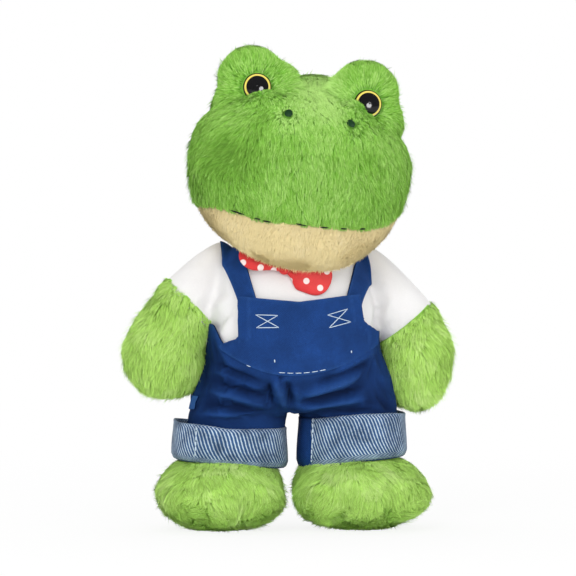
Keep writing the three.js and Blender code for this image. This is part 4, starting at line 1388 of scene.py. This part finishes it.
FOLDS = [
    # x0, z0, x1, z1, half width, height, facing: the gathered front, then the folds that run out from the crotch
    (-15, 103, -9, 84, 4.2, 3.6, -1), (-20, 100, -15, 84, 2.4, -2.6, -1), (-8, 101, -5, 86, 2.4, -2.6, -1),
    (-3, 97, 1, 84, 3.0, 1.6, -1), (-13, 106, -11, 98, 1.6, -1.8, -1),
    (-20, 86, -60, 95, 3.6, 2.8, -1), (-20, 91, -58, 102, 2.8, -2.4, -1), (-26, 97, -56, 108, 3.2, 2.0, -1),
    (-30, 103, -56, 114, 2.4, -1.5, -1), (-24, 82, -60, 86, 3.0, -2.2, -1), (-30, 79, -64, 80, 3.4, 1.6, -1),
    (-38, 109, -50, 117, 3.0, 1.2, -1),
    (4, 92, 42, 106, 3.8, 3.0, -1), (2, 88, 46, 98, 2.8, -2.4, -1), (4, 84, 46, 90, 3.2, 2.4, -1),
    (10, 80, 48, 82, 2.6, -1.8, -1), (14, 101, 50, 115, 2.8, -2.0, -1), (22, 106, 54, 122, 3.2, 1.8, -1),
    (50, 118, 62, 96, 3.6, 1.5, -1), (54, 92, 64, 80, 3.0, -1.3, -1), (20, 77, 52, 76, 2.6, 1.2, -1),
    (-66, 120, -70, 84, 4.0, 1.6, -1), (-58, 118, -64, 92, 2.6, -1.4, -1), (62, 118, 69, 82, 4.0, 1.6, -1),
    (-8, 86, -46, 100, 4.0, 2.4, 1), (8, 86, 46, 98, 4.0, 2.4, 1), (-6, 94, -40, 112, 3.2, -2.0, 1),
    (6, 94, 42, 110, 3.2, -2.0, 1), (-20, 128, -50, 120, 4.0, 1.6, 1), (14, 130, 48, 122, 4.0, 1.6, 1),
    (-62, 112, -68, 84, 4.0, 1.8, 1), (60, 112, 68, 82, 4.0, 1.8, 1), (0, 118, 4, 92, 2.6, -1.6, 1),
    (-12, 116, -30, 100, 2.8, 1.3, 1), (14, 116, 30, 102, 2.8, 1.3, 1),
]


def dungaree_shapes(grow):
    shapes = [stuffed(TORSO, 2.6 + grow)]
    hips = [(0, 0, 82, 67.5, 32.5, 2.6), (0, 0, 86, 67.6, 34.5, 2.6), (0, 0, 98, 65.5, 38.5, 2.5),
            (0, 0, 112, 61.5, 44, 2.4), (0, 0, 126, 58.2, 47, 2.35), (0, 0, 136, 56.5, 47, 2.3)]
    shapes.append(stacked([(x, y, z, w + grow, d + grow, s) for x, y, z, w, d, s in hips], 88))
    for side in SIDES.values():
        tube = [(side * 39.75, 0, 44, 32.0, 26.5, 2.4), (side * 39, 0, 64, 32.4, 28, 2.4),
                (side * 38.2, 0, 76, 32.8, 29.5, 2.4), (side * 36.2, 0, 86, 32.4, 33, 2.4),
                (side * 34, 0, 96, 30, 33, 2.4)]
        shapes.append(stacked([(x, y, z, w + grow, d + grow, s) for x, y, z, w, d, s in tube], 88))
    return shapes


def settled(points, triangles, pinned, pattern, form, frames):
    """Cloth let go over a form, by cloth simulation. pinned holds each point from 0 to 1 and pattern is the cloth's
    own cut: where it is longer than its place, the cloth falls in folds. Returns the new points."""
    scene = bpy.context.scene
    cloth = make_mesh("trial_cloth", points, [triangles])
    under = make_mesh("trial_form", form[0], [form[1]])
    under.modifiers.new("under", "COLLISION")
    under.collision.thickness_outer = 0.4 * MM
    under.collision.cloth_friction = 8
    cloth.shape_key_add(name="Basis")
    cut_key = cloth.shape_key_add(name="pattern")
    cut_key.data.foreach_set("co", pattern.astype(np.float32).ravel())
    hold = cloth.vertex_groups.new(name="hold")
    for level in (0.25, 0.5, 0.75, 1.0):
        chosen = np.flatnonzero((pinned > level - 0.25) & (pinned <= level))
        hold.add(chosen.tolist(), level, "REPLACE")
    drape = cloth.modifiers.new("drape", "CLOTH")
    wanted = {"quality": 6, "mass": 0.12, "tension_stiffness": 30, "compression_stiffness": 30, "shear_stiffness": 12,
              "bending_stiffness": 0.12, "tension_damping": 8, "compression_damping": 8, "shear_damping": 8,
              "bending_damping": 0.6, "vertex_group_mass": "hold", "pin_stiffness": 4, "air_damping": 2}
    for title, value in wanted.items():
        setattr(drape.settings, title, value)
    drape.settings.rest_shape_key = cut_key
    drape.collision_settings.distance_min = 0.6 * MM
    drape.collision_settings.collision_quality = 3
    drape.point_cache.frame_start, drape.point_cache.frame_end = 1, frames
    for frame_number in range(1, frames + 1):
        scene.frame_set(frame_number)
    ready = cloth.evaluated_get(bpy.context.evaluated_depsgraph_get())
    out = np.empty(len(points) * 3, np.float32)
    ready.data.vertices.foreach_get("co", out)
    scene.frame_set(1)
    for obj in (cloth, under):
        bpy.data.meshes.remove(obj.data)
    return out.reshape(-1, 3).astype(float)


def hem_push(distance, wide=3.2, high=0.7):
    """A folded hem: cloth stands off a little along an edge. distance is in mm from the edge."""
    return high * (1 - smoothstep(wide * 0.75, wide, distance)) * smoothstep(-0.2, 0.8, distance)


SEAT_LINING_TOP = 126
CUT_LONGER, CUT_WIDER, DRAPE_FRAMES = 0.26, 0.05, 26  # what the trousers' cut has to spare, and how long they settle
STRAP_WIDE, STRAP_LEVEL = 11.2, 150.0  # and the level that the straps go round, in toy mm
STRAP_BEHIND = ((1.45, 43.5), (1.9, 43.5), (2.5, 40.5), (math.pi, 31.5))  # angle round, distance from the middle
STRAP_PIXELS = {1: (354, 296, 0.31), -1: (247.2, 297, -0.33)}  # a pixel on each strap and how it leans


class FROG_OT_dungarees(bpy.types.Operator):
    """Denim bib, trousers and straps"""
    bl_idname = "frog.dungarees"
    bl_label = "Dungarees"

    def execute(self, context):
        denim = context.scene.frog_sizes.denim
        points, triangles, normals = melt(dungaree_shapes(0.6), metres, 1.9, 10)
        crumple = ripple(points, 0.026, 3) * 0.3 + ripple(points, 0.012, 4) * 0.16
        fades = smoothstep(150, 118, toy_local(points)[:, 2])
        points = points + normals * (crumple * MM)[:, None] * fades[:, None]
        self.trousers(points, triangles, normals, denim)
        under = melt(dungaree_shapes(-6)[:2], metres, 3, 6)
        lining = trimmed(under, SEAT_LINING_TOP - toy_local(under[0])[:, 2])
        skin_piece("seat_lining", lining, "denim", "torso", "denim")
        self.bib(points + normals * 1.2 * MM, triangles, denim * 1.5)
        for name, side in SIDES.items():
            self.strap(name, side, denim * 1.4)
        self.tab(skins["trousers"])
        return {"FINISHED"}

    def trousers(self, points, triangles, normals, thickness):
        """Both trouser legs: folded, let go over the form, then with their hem and their middle seam; their denim is
        darkened by painted shade, most of all in the folds' valleys.
        """
        folded = fold(points, normals, [(*f[:5], f[5] * 1.35, f[6]) for f in FOLDS])
        q = toy_local(folded)
        low = np.minimum(trouser_top(q) - q[:, 2] + 4, q[:, 2] - 48)
        points, triangles, (flat, normals) = cut(folded, triangles, low, (points, normals))
        q = toy_local(points)
        edge, share = trouser_top(q) - q[:, 2], smoothstep(70, 82, q[:, 2])
        pinned = np.maximum(1 - smoothstep(0.5, 9, edge), 1 - smoothstep(70, 79, q[:, 2]))
        pattern = points.copy()
        pattern[:, 2] += (CUT_LONGER * np.clip(q[:, 2] - 74, 0, 99) * MM)
        pattern[:, 0] *= 1 + CUT_WIDER * share
        pattern[:, 1] += (q[:, 1] * CUT_WIDER * share) * MM
        form = melt(dungaree_shapes(-2.6), metres, 3, 8)
        points = settled(points, triangles, pinned, pattern, form, DRAPE_FRAMES)
        points = fold(points, normals, [(*f[:4], f[4] * 0.7, f[5] * 0.75, f[6]) for f in FOLDS])
        push = ((points - flat) * normals).sum(1) / MM
        normals = point_normals(points, triangles)
        p = toy_local(points)
        top = trouser_top(p) - p[:, 2]
        away = smoothstep(2, 12, top) * smoothstep(64, 76, p[:, 2])
        # Painted shade and highlight: below 0 over the legs and deepest in the folds' valleys, above 0 on the highest
        # fold crests, partly rubbed wear and partly painted highlight; the top edge is worn.
        wear = np.clip(push * 0.2 - 0.5, -1.1, 0.4) * away + 0.4 * np.exp(-np.clip(top, 0, 99) / 1.1)
        middle = np.abs(p[:, 0] + 13 * smoothstep(70, 82, p[:, 2]) * smoothstep(4, -4, p[:, 1]))
        hem = hem_push(top, 4.0, 0.5) * smoothstep(-10, 6, p[:, 1])
        groove = np.exp(-((middle / 1.1) ** 2)) * 0.9 * smoothstep(78, 84, p[:, 2])
        points = points + normals * ((hem - groove) * MM)[:, None]
        points, triangles, (*extras, foot) = cut(points, triangles, top, (normals, wear, p[:, 2] - 50))
        points, triangles, extras = cut(points, triangles, foot, extras)
        skins["trousers"] = tree_of(points, triangles)
        for name, side in SIDES.items():
            own = side * toy_local(points)[:, 0] + 0.02
            half, faces, (out, worn_and_shaded) = cut(points, triangles, own, extras)
            cloth = cloth_piece(f"{name}_trouser_cloth", (half, faces, unit(out)), thickness, "denim", worn_and_shaded)
            dress(cloth, None, "denim", f"{name}_trouser_leg", f"{name}_leg", "overalls_seat")
            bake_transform(cloth)

    def bib(self, points, triangles, thickness):
        """The bib, its sides and lower edge hemmed, with a sewn channel along each side."""
        p = toy_local(points)
        sides = bib_sides(p)
        inside = np.minimum(sides, bib_top(p[:, 0]) - p[:, 2])
        below = p[:, 2] - waist_seam(p[:, 0]) + 1.2
        value = np.where(p[:, 1] < 0, np.minimum(inside, below), -5)
        band = smoothstep(122, 130, p[:, 2])
        edge = hem_push(sides, 8.0, 1.0) * band + hem_push(below, 2.2, 0.5)
        edge += hem_push(inside, 2.4, 0.3) * band
        pinch = np.exp(-((sides - 8.3) / 0.6) ** 2) * 0.5 * band
        points = points + point_normals(points, triangles) * ((edge - pinch) * MM)[:, None]
        wear = 0.6 * np.exp(-np.clip(value, 0, 99) / 0.8) + 0.35 * np.exp(-((sides - 7.2) / 0.6) ** 2) * band
        points, triangles, (normals, wear) = cut(points, triangles, value, (point_normals(points, triangles), wear))
        skins["bib"] = tree_of(points, triangles)
        bib = cloth_piece("bib_cloth", (points, triangles, unit(normals)), thickness, "denim", wear)
        dress(bib, "torso", "denim", "bib")

    def strap(self, name, side, thickness):
        """A band over the shoulder, from the bib's corner to the raised back."""
        middle = np.array([0, 0, STRAP_LEVEL])
        behind = np.array(STRAP_BEHIND)
        rows, columns = 70, 9
        x, y, slope = STRAP_PIXELS[side]
        seen = [seen_on(skins["white"], x + slope * (y - level), level)[0] for level in np.arange(312, 258, -4)]
        seen = toy_local([list(q) for q in seen])
        angles = np.concatenate([np.arctan2(seen[:, 2] - STRAP_LEVEL, -seen[:, 1]), behind[:, 0]])
        places = np.concatenate([seen[:, 0], side * behind[:, 1]])
        points, worn_and_shaded = [], []
        for a in np.linspace(-0.12, math.pi + 0.1, rows):
            way = np.array([0, -math.cos(a), math.sin(a)])
            x = np.interp(a, angles, places)
            for k in range(columns):
                across = (k / (columns - 1) - 0.5) * STRAP_WIDE
                start = metres([middle + way * 130 + np.array([x + across, 0, 0])])[0]
                place, normal, _, _ = skins["white"].ray_cast(Vector(start), Vector(-way))
                if place is None:
                    place, normal = Vector(start) - Vector(way) * 0.09, Vector(way)
                over_shoulder = 0.9 * math.exp(-(((a - 1.6) / 0.5) ** 2))
                lift = 1.5 + (1.5 if a < 0.1 else 0.6) + 0.35 * (abs(across) > 3.6) + over_shoulder
                points.append(np.array(place) + np.array(normal) * lift * MM)
                worn_and_shaded.append(0.65 if k in (0, columns - 1) else 0.05)
        points = np.array(points).reshape(rows, columns, 3)
        for _ in range(8):
            points[1:-1] = (points[:-2] + points[1:-1] * 2 + points[2:]) / 4
        points = points.reshape(-1, 3)
        a = grid_corners(rows, columns)
        triangles = np.concatenate([np.stack([a, a + 1, a + columns + 1], 1),
                                    np.stack([a, a + columns + 1, a + columns], 1)])
        normals = point_normals(points, triangles)
        if (normals * (points - metres([[side * 20, 0, STRAP_LEVEL]])[0])).sum() < 0:
            triangles, normals = triangles[:, ::-1], -normals
        obj = cloth_piece(f"{name}_strap_cloth", (points, triangles, normals), thickness, "denim", np.array(worn_and_shaded))
        dress(obj, "torso", "denim", f"{name}_strap")

    def tab(self, tree):
        """The plain square tab in the side seam of the right leg."""
        points = []
        for z in np.linspace(90.5, 81.5, 7):
            for x in np.linspace(-5, 5, 7):
                start = metres([[-120, x - 14, z]])[0]
                place, normal, _, _ = tree.ray_cast(Vector(start), Vector((1, 0.12, 0)).normalized())
                points.append(np.array(place) + np.array(normal) * (1.0 * MM))
        points = np.array(points)
        a = grid_corners(7, 7)
        triangles = np.concatenate([np.stack([a, a + 8, a + 1], 1), np.stack([a, a + 7, a + 8], 1)])
        normals = point_normals(points, triangles)
        if normals[:, 0].sum() > 0:
            triangles, normals = triangles[:, ::-1], -normals
        worn_and_shaded = np.full(len(points), 1.3)
        tab = cloth_piece("side_tab_cloth", (points, triangles, normals), 0.9 * MM, "denim", worn_and_shaded)
        dress(tab, "right_leg", "denim_reverse", "side_tab")


# Foot and top of each cuff in toy mm, at its outer side, front and inner side; then its middle and half width
CUFF_EDGES = {"right": ((48.5, 45.5, 42.5), (74.0, 69.5, 69.0)), "left": ((50.3, 48.0, 42.3), (78.5, 79.0, 75.0))}
CUFF_PLACES = {"right": (-42.9, 35.4), "left": (40.6, 33.4)}
CUFF_HALF_DEEP, CUFF_SQUARE, CUFF_ROUND = 30.5, 2.4, 160
CUFF_HEM = ((1.6, -0.035), (1.2, 0.02), (0.6, 0.3), (-0.4, 0.7))  # how far outside the form, and share of the height


def cuff_ring(name, levels, off, share, bulge=0, rise=0):
    """A ring of points round a cuff in toy mm, off outside its form and at a share of its height."""
    middle, wide = CUFF_PLACES[name]
    across, along = oval(CUFF_ROUND, CUFF_SQUARE)
    foot, top = levels
    return np.stack([middle + (wide + off + bulge) * across, (CUFF_HALF_DEEP + off + bulge) * along,
                     foot + (top - foot) * share + rise], 1)


class FROG_OT_cuffs(bpy.types.Operator):
    """Turned-up cuffs that show the reverse of the denim"""
    bl_idname = "frog.cuffs"
    bl_label = "Cuffs"

    def execute(self, context):
        turn = np.linspace(0, 2 * math.pi, CUFF_ROUND, endpoint=False)
        across, _ = oval(CUFF_ROUND, CUFF_SQUARE)
        wall = [(4.2 - 1.3 * t + 0.25 * math.sin(t * 5), t) for t in np.linspace(0.12, 0.9, 7)]
        profile = [(1.2, 0.05), (1.5, 0.0), (2.7, -0.01), (3.3, 0.03), *wall,
                   (2.9, 0.98), (2.3, 1.01), (1.6, 0.99), (1.1, 0.9)]
        for name, side in SIDES.items():
            levels = [np.interp(side * across, [-1, 0.1, 1], edge[::-1]) for edge in CUFF_EDGES[name]]
            rng = np.random.default_rng(90 + side)
            waver = sum(rng.normal() * np.sin(turn * k + rng.uniform(0, 6)) for k in (2, 3, 5, 7)) * 0.25
            rings = []
            for off, share in profile:
                bulge = 0.35 * np.sin(turn * 9 + share * 2) * share + waver * 0.5
                rings.append(cuff_ring(name, levels, off, share, bulge, waver * share))
            self.turn_up(name, rings)
            rings = [cuff_ring(name, levels, off, share) for off, share in CUFF_HEM]
            inner = make_mesh(f"{name}_hem_cloth", metres(np.concatenate(rings)),
                              [ring_quads(len(rings), CUFF_ROUND)], look("denim"))
            dress(inner, f"{name}_leg", "denim")
        return {"FINISHED"}

    def turn_up(self, name, rings):
        """The band itself, its flat pattern laid out round the leg."""
        flats = []
        for ring in rings:
            steps = np.linalg.norm(np.diff(np.concatenate([ring, ring[:1]])[:, :2], axis=0), axis=1)
            flats.append(np.stack([np.concatenate([[0], np.cumsum(steps)[:-1]]), ring[:, 2]], 1))
        points = metres(np.concatenate(rings))
        quads = ring_quads(len(rings), CUFF_ROUND, closed=True)
        uv = (np.concatenate(flats) * MM)[quads]
        wrap = uv[:, :, 0].max(1) - uv[:, :, 0].min(1) > 0.05
        uv[wrap, 1:3, 0] = uv[wrap, 0:1, 0] + 0.0014
        cuff = make_mesh(f"{name}_cuff_cloth", points, [quads], look("denim_reverse"))
        layer = cuff.data.uv_layers.new(name="cloth")
        layer.data.foreach_set("uv", uv.astype(np.float32).ravel())
        skins[f"{name}_cuff"] = tree_of(points, np.concatenate([quads[:, [0, 1, 2]], quads[:, [0, 2, 3]]]))
        if name == "left":
            cuff.data.materials.append(look("denim"))
            middles = toy_local(points[quads].mean(1))
            plain = (middles[:, 0] < 10.5) & (middles[:, 1] < 8)
            cuff.data.polygons.foreach_set("material_index", plain.astype(np.int32))
        dress(cuff, f"{name}_leg", "denim_reverse", f"{name}_cuff", fill=0.2)


BOW_START = (-8.6, -120, 178.8)  # in toy mm, in front of the knot
BOW_ROLL, BOW_LEAN, BOW_FORWARD = 21, -12, 5.4  # degrees, degrees and mm
LOOP_NEAR, LOOP_FAR, LOOP_HALF_NEAR, LOOP_THICK = 3.2, 32.5, 5.0, 3.4
LOOP_SHAPE = {1: (12.4, 0.34), -1: (10.6, 0.62)}  # half height of each loop and where it is reached
KNOT = (4.6, 4.0, 5.6)


class FROG_OT_bow_tie(bpy.types.Operator):
    """Spotted bow tie: two loops and the knot"""
    bl_idname = "frog.bow_tie"
    bl_label = "Bow Tie"

    def execute(self, context):
        place, _, _, _ = skins["white"].ray_cast(Vector(metres([BOW_START])[0]), Vector((0, 1, 0)))
        roll = Matrix.Rotation(math.radians(BOW_ROLL), 4, "Y")
        lean = Matrix.Rotation(math.radians(BOW_LEAN), 4, "X")
        at = Matrix.Translation(place + Vector((0, -BOW_FORWARD * MM, 0))) @ lean @ roll

        def piece(name, points, faces, flat, node_name, fill):
            world = np.array([list(at @ Vector(q * MM)) for q in points])
            obj = make_mesh(name, world, faces, look("spotted_cotton"), flat * MM, "cloth")
            dress(obj, "torso", "red_cotton", node_name, fill=fill)

        for name, side in SIDES.items():
            points, quads, flat = self.loop(side)
            piece(f"{name}_bow_cloth", points, [quads], flat, f"{name}_bow_loop", 0.4)
        points, faces = ball((0, 0, 0), KNOT, 40, 24)
        points = points * (1 + 0.05 * np.cos(np.arctan2(points[:, 1], points[:, 0]) * 9))[:, None]
        piece("bow_knot_cloth", points, list(faces), points[:, [0, 2]] + [3, 3], "bow_knot", 0.6)
        return {"FINISHED"}

    def loop(self, side):
        """One loop: a soft flat pouch, gathered at the knot. Returns mm points, faces and its flat pattern."""
        rows, columns = 34, 25
        half_far, reached = LOOP_SHAPE[side]
        points, flat = [], []
        for face in (1, -1):
            for r in range(rows + 1):
                out = 1 - (1 - r / rows) ** 1.2
                half = LOOP_HALF_NEAR + (half_far - LOOP_HALF_NEAR) * smoothstep(0, reached, out)
                if out > 0.55:
                    half = half * (max(0.0, 1 - max(0, (out - 0.55) / 0.45) ** 2.6)) ** (1 / 2.2)
                for c in range(columns):
                    v = c / (columns - 1) * 2 - 1
                    bow = (1 - abs(v) ** 2.4) ** 0.6 * (max(0.0, 1 - out**5)) ** 0.5
                    pleat = 0.9 * math.exp(-out * 3.2) * math.cos(v * 3.1 * math.pi)
                    pleat += 0.5 * math.exp(-((v - 0.25) / 0.16) ** 2) * math.exp(-((out - 0.35) / 0.3) ** 2)
                    swell = LOOP_THICK * (0.5 + 0.5 * math.sin(math.pi * min(1, out * 1.1) ** 0.8))
                    x, z = side * (LOOP_NEAR + (LOOP_FAR - LOOP_NEAR) * out), float(half * v)
                    points.append((x, -face * (swell * bow + pleat * bow), z))
                    flat.append((x + 40, z + 40))
        size, top = (rows + 1) * columns, columns - 1
        a = grid_corners(rows + 1, columns)
        quads = np.stack([a, a + 1, a + columns + 1, a + columns], 1)
        b = np.arange(rows) * columns
        rims = [np.stack([b, b + columns, b + columns + size, b + size], 1),
                np.stack([b + columns + top, b + top, b + top + size, b + columns + top + size], 1)]
        quads = np.concatenate([quads, quads[:, ::-1] + size, *rims])
        return np.array(points), quads[:, ::-1] if side < 0 else quads, np.array(flat)


# Sewn lines as pixels of the photograph: two crosses, two single stitches and the seam of the bib; the cuffs
BIB_CROSSES = [[(255.5, 314.8), (277.9, 315.4), (256.2, 327.8), (279, 327.5), (255.5, 314.8)],
               [(327.5, 315), (347.7, 308.9), (329.2, 327.8), (351, 321.9), (327.5, 315)]]
BIB_SPECKS = [[(274.6, 359.5), (274.8, 362.5)], [(351.3, 350.5), (351.4, 353)]]
BIB_SEAM = [(279, 372.6), (292, 373.2), (304, 373), (316, 371.5), (329, 369)]
BIB_SEAM_LEFT = [(238, 361), (244, 364), (252, 367.5)]
CUFF_SEAMS = {"right": [(196.5, 423.5), (196, 440), (195, 457.5)], "left": [(313.2, 418.5), (312.4, 440), (311.4, 462)]}


class FROG_OT_stitches(bpy.types.Operator):
    """White thread on the bib, the seams and the cuffs"""
    bl_idname = "frog.stitches"
    bl_label = "Stitches"

    def execute(self, context):
        radius = context.scene.frog_sizes.stitch / 2
        bib = skins["bib"]
        parts = []
        for cross in BIB_CROSSES:
            for line in zip(cross, cross[1:]):
                parts += sewn_line(bib, finely(line), radius * 0.8, 40 * MM, 0, samples=9)
        for line in BIB_SPECKS:
            parts += sewn_line(bib, line, radius * 1.2, 3 * MM, 1 * MM)
        for line, stitch, gap in ((BIB_SEAM, 4.2, 1.3), (BIB_SEAM_LEFT, 3.0, 2.4)):
            parts += sewn_line(bib, self.on(bib, finely(line)), radius * 0.8, stitch * MM, gap * MM)
        dress(gathered("bib_stitches", parts, "white_thread"), "torso", "white_cloth")
        for name, line in CUFF_SEAMS.items():
            cuff = skins[f"{name}_cuff"]
            parts = sewn_line(cuff, self.on(cuff, finely(line)), radius * 1.3, 3.0 * MM, 0.5 * MM)
            dress(gathered(f"{name}_cuff_stitches", parts, "white_thread"), f"{name}_leg", "white_cloth")
        return {"FINISHED"}

    def on(self, tree, pixels):
        """Those of a line's pixels that lie on a surface."""
        return [(x, y) for x, y in pixels if tree.ray_cast(*pixel_ray(x, y))[0] is not None]


# Name, place, size across and power of each lamp
LAMPS = (("key", (-0.55, -1.45, 0.95), 0.9, 9.0), ("fill", (0.45, -1.5, 0.3), 0.42, 5.0),
         ("catch", (0.435, -1.45, 0.295), 0.66, 26.0), ("top", (0.0, 0.35, 1.5), 1.2, 3.8))
LAMP_AIM = (0, 0, 0.16)
FLOOR_HALF = 3.0
SURROUND, SURROUND_GLOSS = 0.76, 0.5  # strength of the surround, and what reflections lack of it


class FROG_OT_stage(bpy.types.Operator):
    """Camera, soft studio light, floor and white surround"""
    bl_idname = "frog.stage"
    bl_label = "Stage"

    def execute(self, context):
        scene = context.scene
        scene.view_settings.view_transform = "Standard"
        data = bpy.data.cameras.new("camera")
        data.sensor_width = SENSOR
        data.lens = SENSOR * VIEW_FAR / (PHOTO_SIDE * PIXEL)
        camera = bpy.data.objects.new("camera", data)
        camera.matrix_world = camera_matrix()
        scene.collection.objects.link(camera)
        scene.camera = camera
        corners = np.array([(-1, -1, 0), (1, -1, 0), (1, 1, 0), (-1, 1, 0)]) * FLOOR_HALF
        floor = make_mesh("floor", corners, [np.array([[0, 1, 2, 3]])], self.pale(scene.frog_colours))
        for title, place, size, power in LAMPS:
            lamp = bpy.data.lights.new(title, "AREA")
            lamp.energy, lamp.size, lamp.shape = power, size, "DISK"
            obj = bpy.data.objects.new(title, lamp)
            obj.location = place
            obj.rotation_mode = "QUATERNION"
            obj.rotation_quaternion = (Vector(place) - Vector(LAMP_AIM)).to_track_quat("Z", "Y")
            obj.visible_glossy, obj.visible_diffuse = title == "catch", title != "catch"
            scene.collection.objects.link(obj)
        world = bpy.data.worlds.new("studio")
        scene.world = world
        world.use_nodes = True
        tree = world.node_tree
        back = tree.nodes["Background"]
        path = node(tree, "ShaderNodeLightPath")
        less = maths(tree, "MULTIPLY", path.outputs["Is Glossy Ray"], SURROUND_GLOSS)
        around = maths(tree, "SUBTRACT", SURROUND, less)
        level = maths(tree, "MAXIMUM", path.outputs["Is Camera Ray"], around)
        back.inputs["Color"].default_value = (1, 1, 1, 1)
        tree.links.new(level, back.inputs["Strength"])
        return {"FINISHED"}

    def pale(self, shades):
        """A pale floor that keeps a faint shadow and runs out into the white surround."""
        made = bpy.data.materials.new("floor")
        made.use_nodes = True
        tree = made.node_tree
        shader = tree.nodes["Principled BSDF"]
        shader.inputs["Base Color"].default_value = (*shades.floor, 1)
        shader.inputs["Roughness"].default_value = 1
        shader.inputs["Specular IOR Level"].default_value = 0
        glow = node(tree, "ShaderNodeEmission", Color=(1, 1, 1, 1), Strength=1.0)
        far = node(tree, "ShaderNodeVectorMath", operation="LENGTH")
        tree.links.new(node(tree, "ShaderNodeNewGeometry").outputs["Position"], far.inputs[0])
        spread = remap(tree, far.outputs["Value"], 0.18, 0.75, 0.87, 1.0)
        path = node(tree, "ShaderNodeLightPath")
        blend = node(tree, "ShaderNodeMixShader")
        tree.links.new(maths(tree, "MULTIPLY", spread, path.outputs["Is Camera Ray"]), blend.inputs[0])
        tree.links.new(shader.outputs[0], blend.inputs[1])
        tree.links.new(glow.outputs[0], blend.inputs[2])
        tree.links.new(blend.outputs[0], tree.nodes["Material Output"].inputs[0])
        return made


OPERATORS = (FROG_OT_stage, FROG_OT_head, FROG_OT_eyes, FROG_OT_face, FROG_OT_body, FROG_OT_mitts,
             FROG_OT_dungarees, FROG_OT_cuffs, FROG_OT_feet, FROG_OT_bow_tie, FROG_OT_stitches)


class FROG_PT_panel(bpy.types.Panel):
    bl_idname = "FROG_PT_panel"
    bl_label = "Plush Frog"
    bl_space_type = "VIEW_3D"
    bl_region_type = "UI"
    bl_category = "Frog"

    def draw(self, context):
        for settings in (context.scene.frog_sizes, context.scene.frog_colours):
            column = self.layout.column()
            for name in settings.__annotations__:
                column.prop(settings, name)
        for operator in OPERATORS:
            self.layout.operator(operator.bl_idname)


CLASSES = (FrogSizes, FrogColours, *OPERATORS, FROG_PT_panel)


def register():
    for cls in CLASSES:
        bpy.utils.register_class(cls)
    bpy.types.Scene.frog_sizes = bpy.props.PointerProperty(type=FrogSizes)
    bpy.types.Scene.frog_colours = bpy.props.PointerProperty(type=FrogColours)


def unregister():
    del bpy.types.Scene.frog_colours
    del bpy.types.Scene.frog_sizes
    for cls in reversed(CLASSES):
        bpy.utils.unregister_class(cls)


def main():
    register()
    for operator in OPERATORS:
        group_name, operator_name = operator.bl_idname.split(".")
        getattr(getattr(bpy.ops, group_name), operator_name)()


if __name__ == "__main__":
    main()
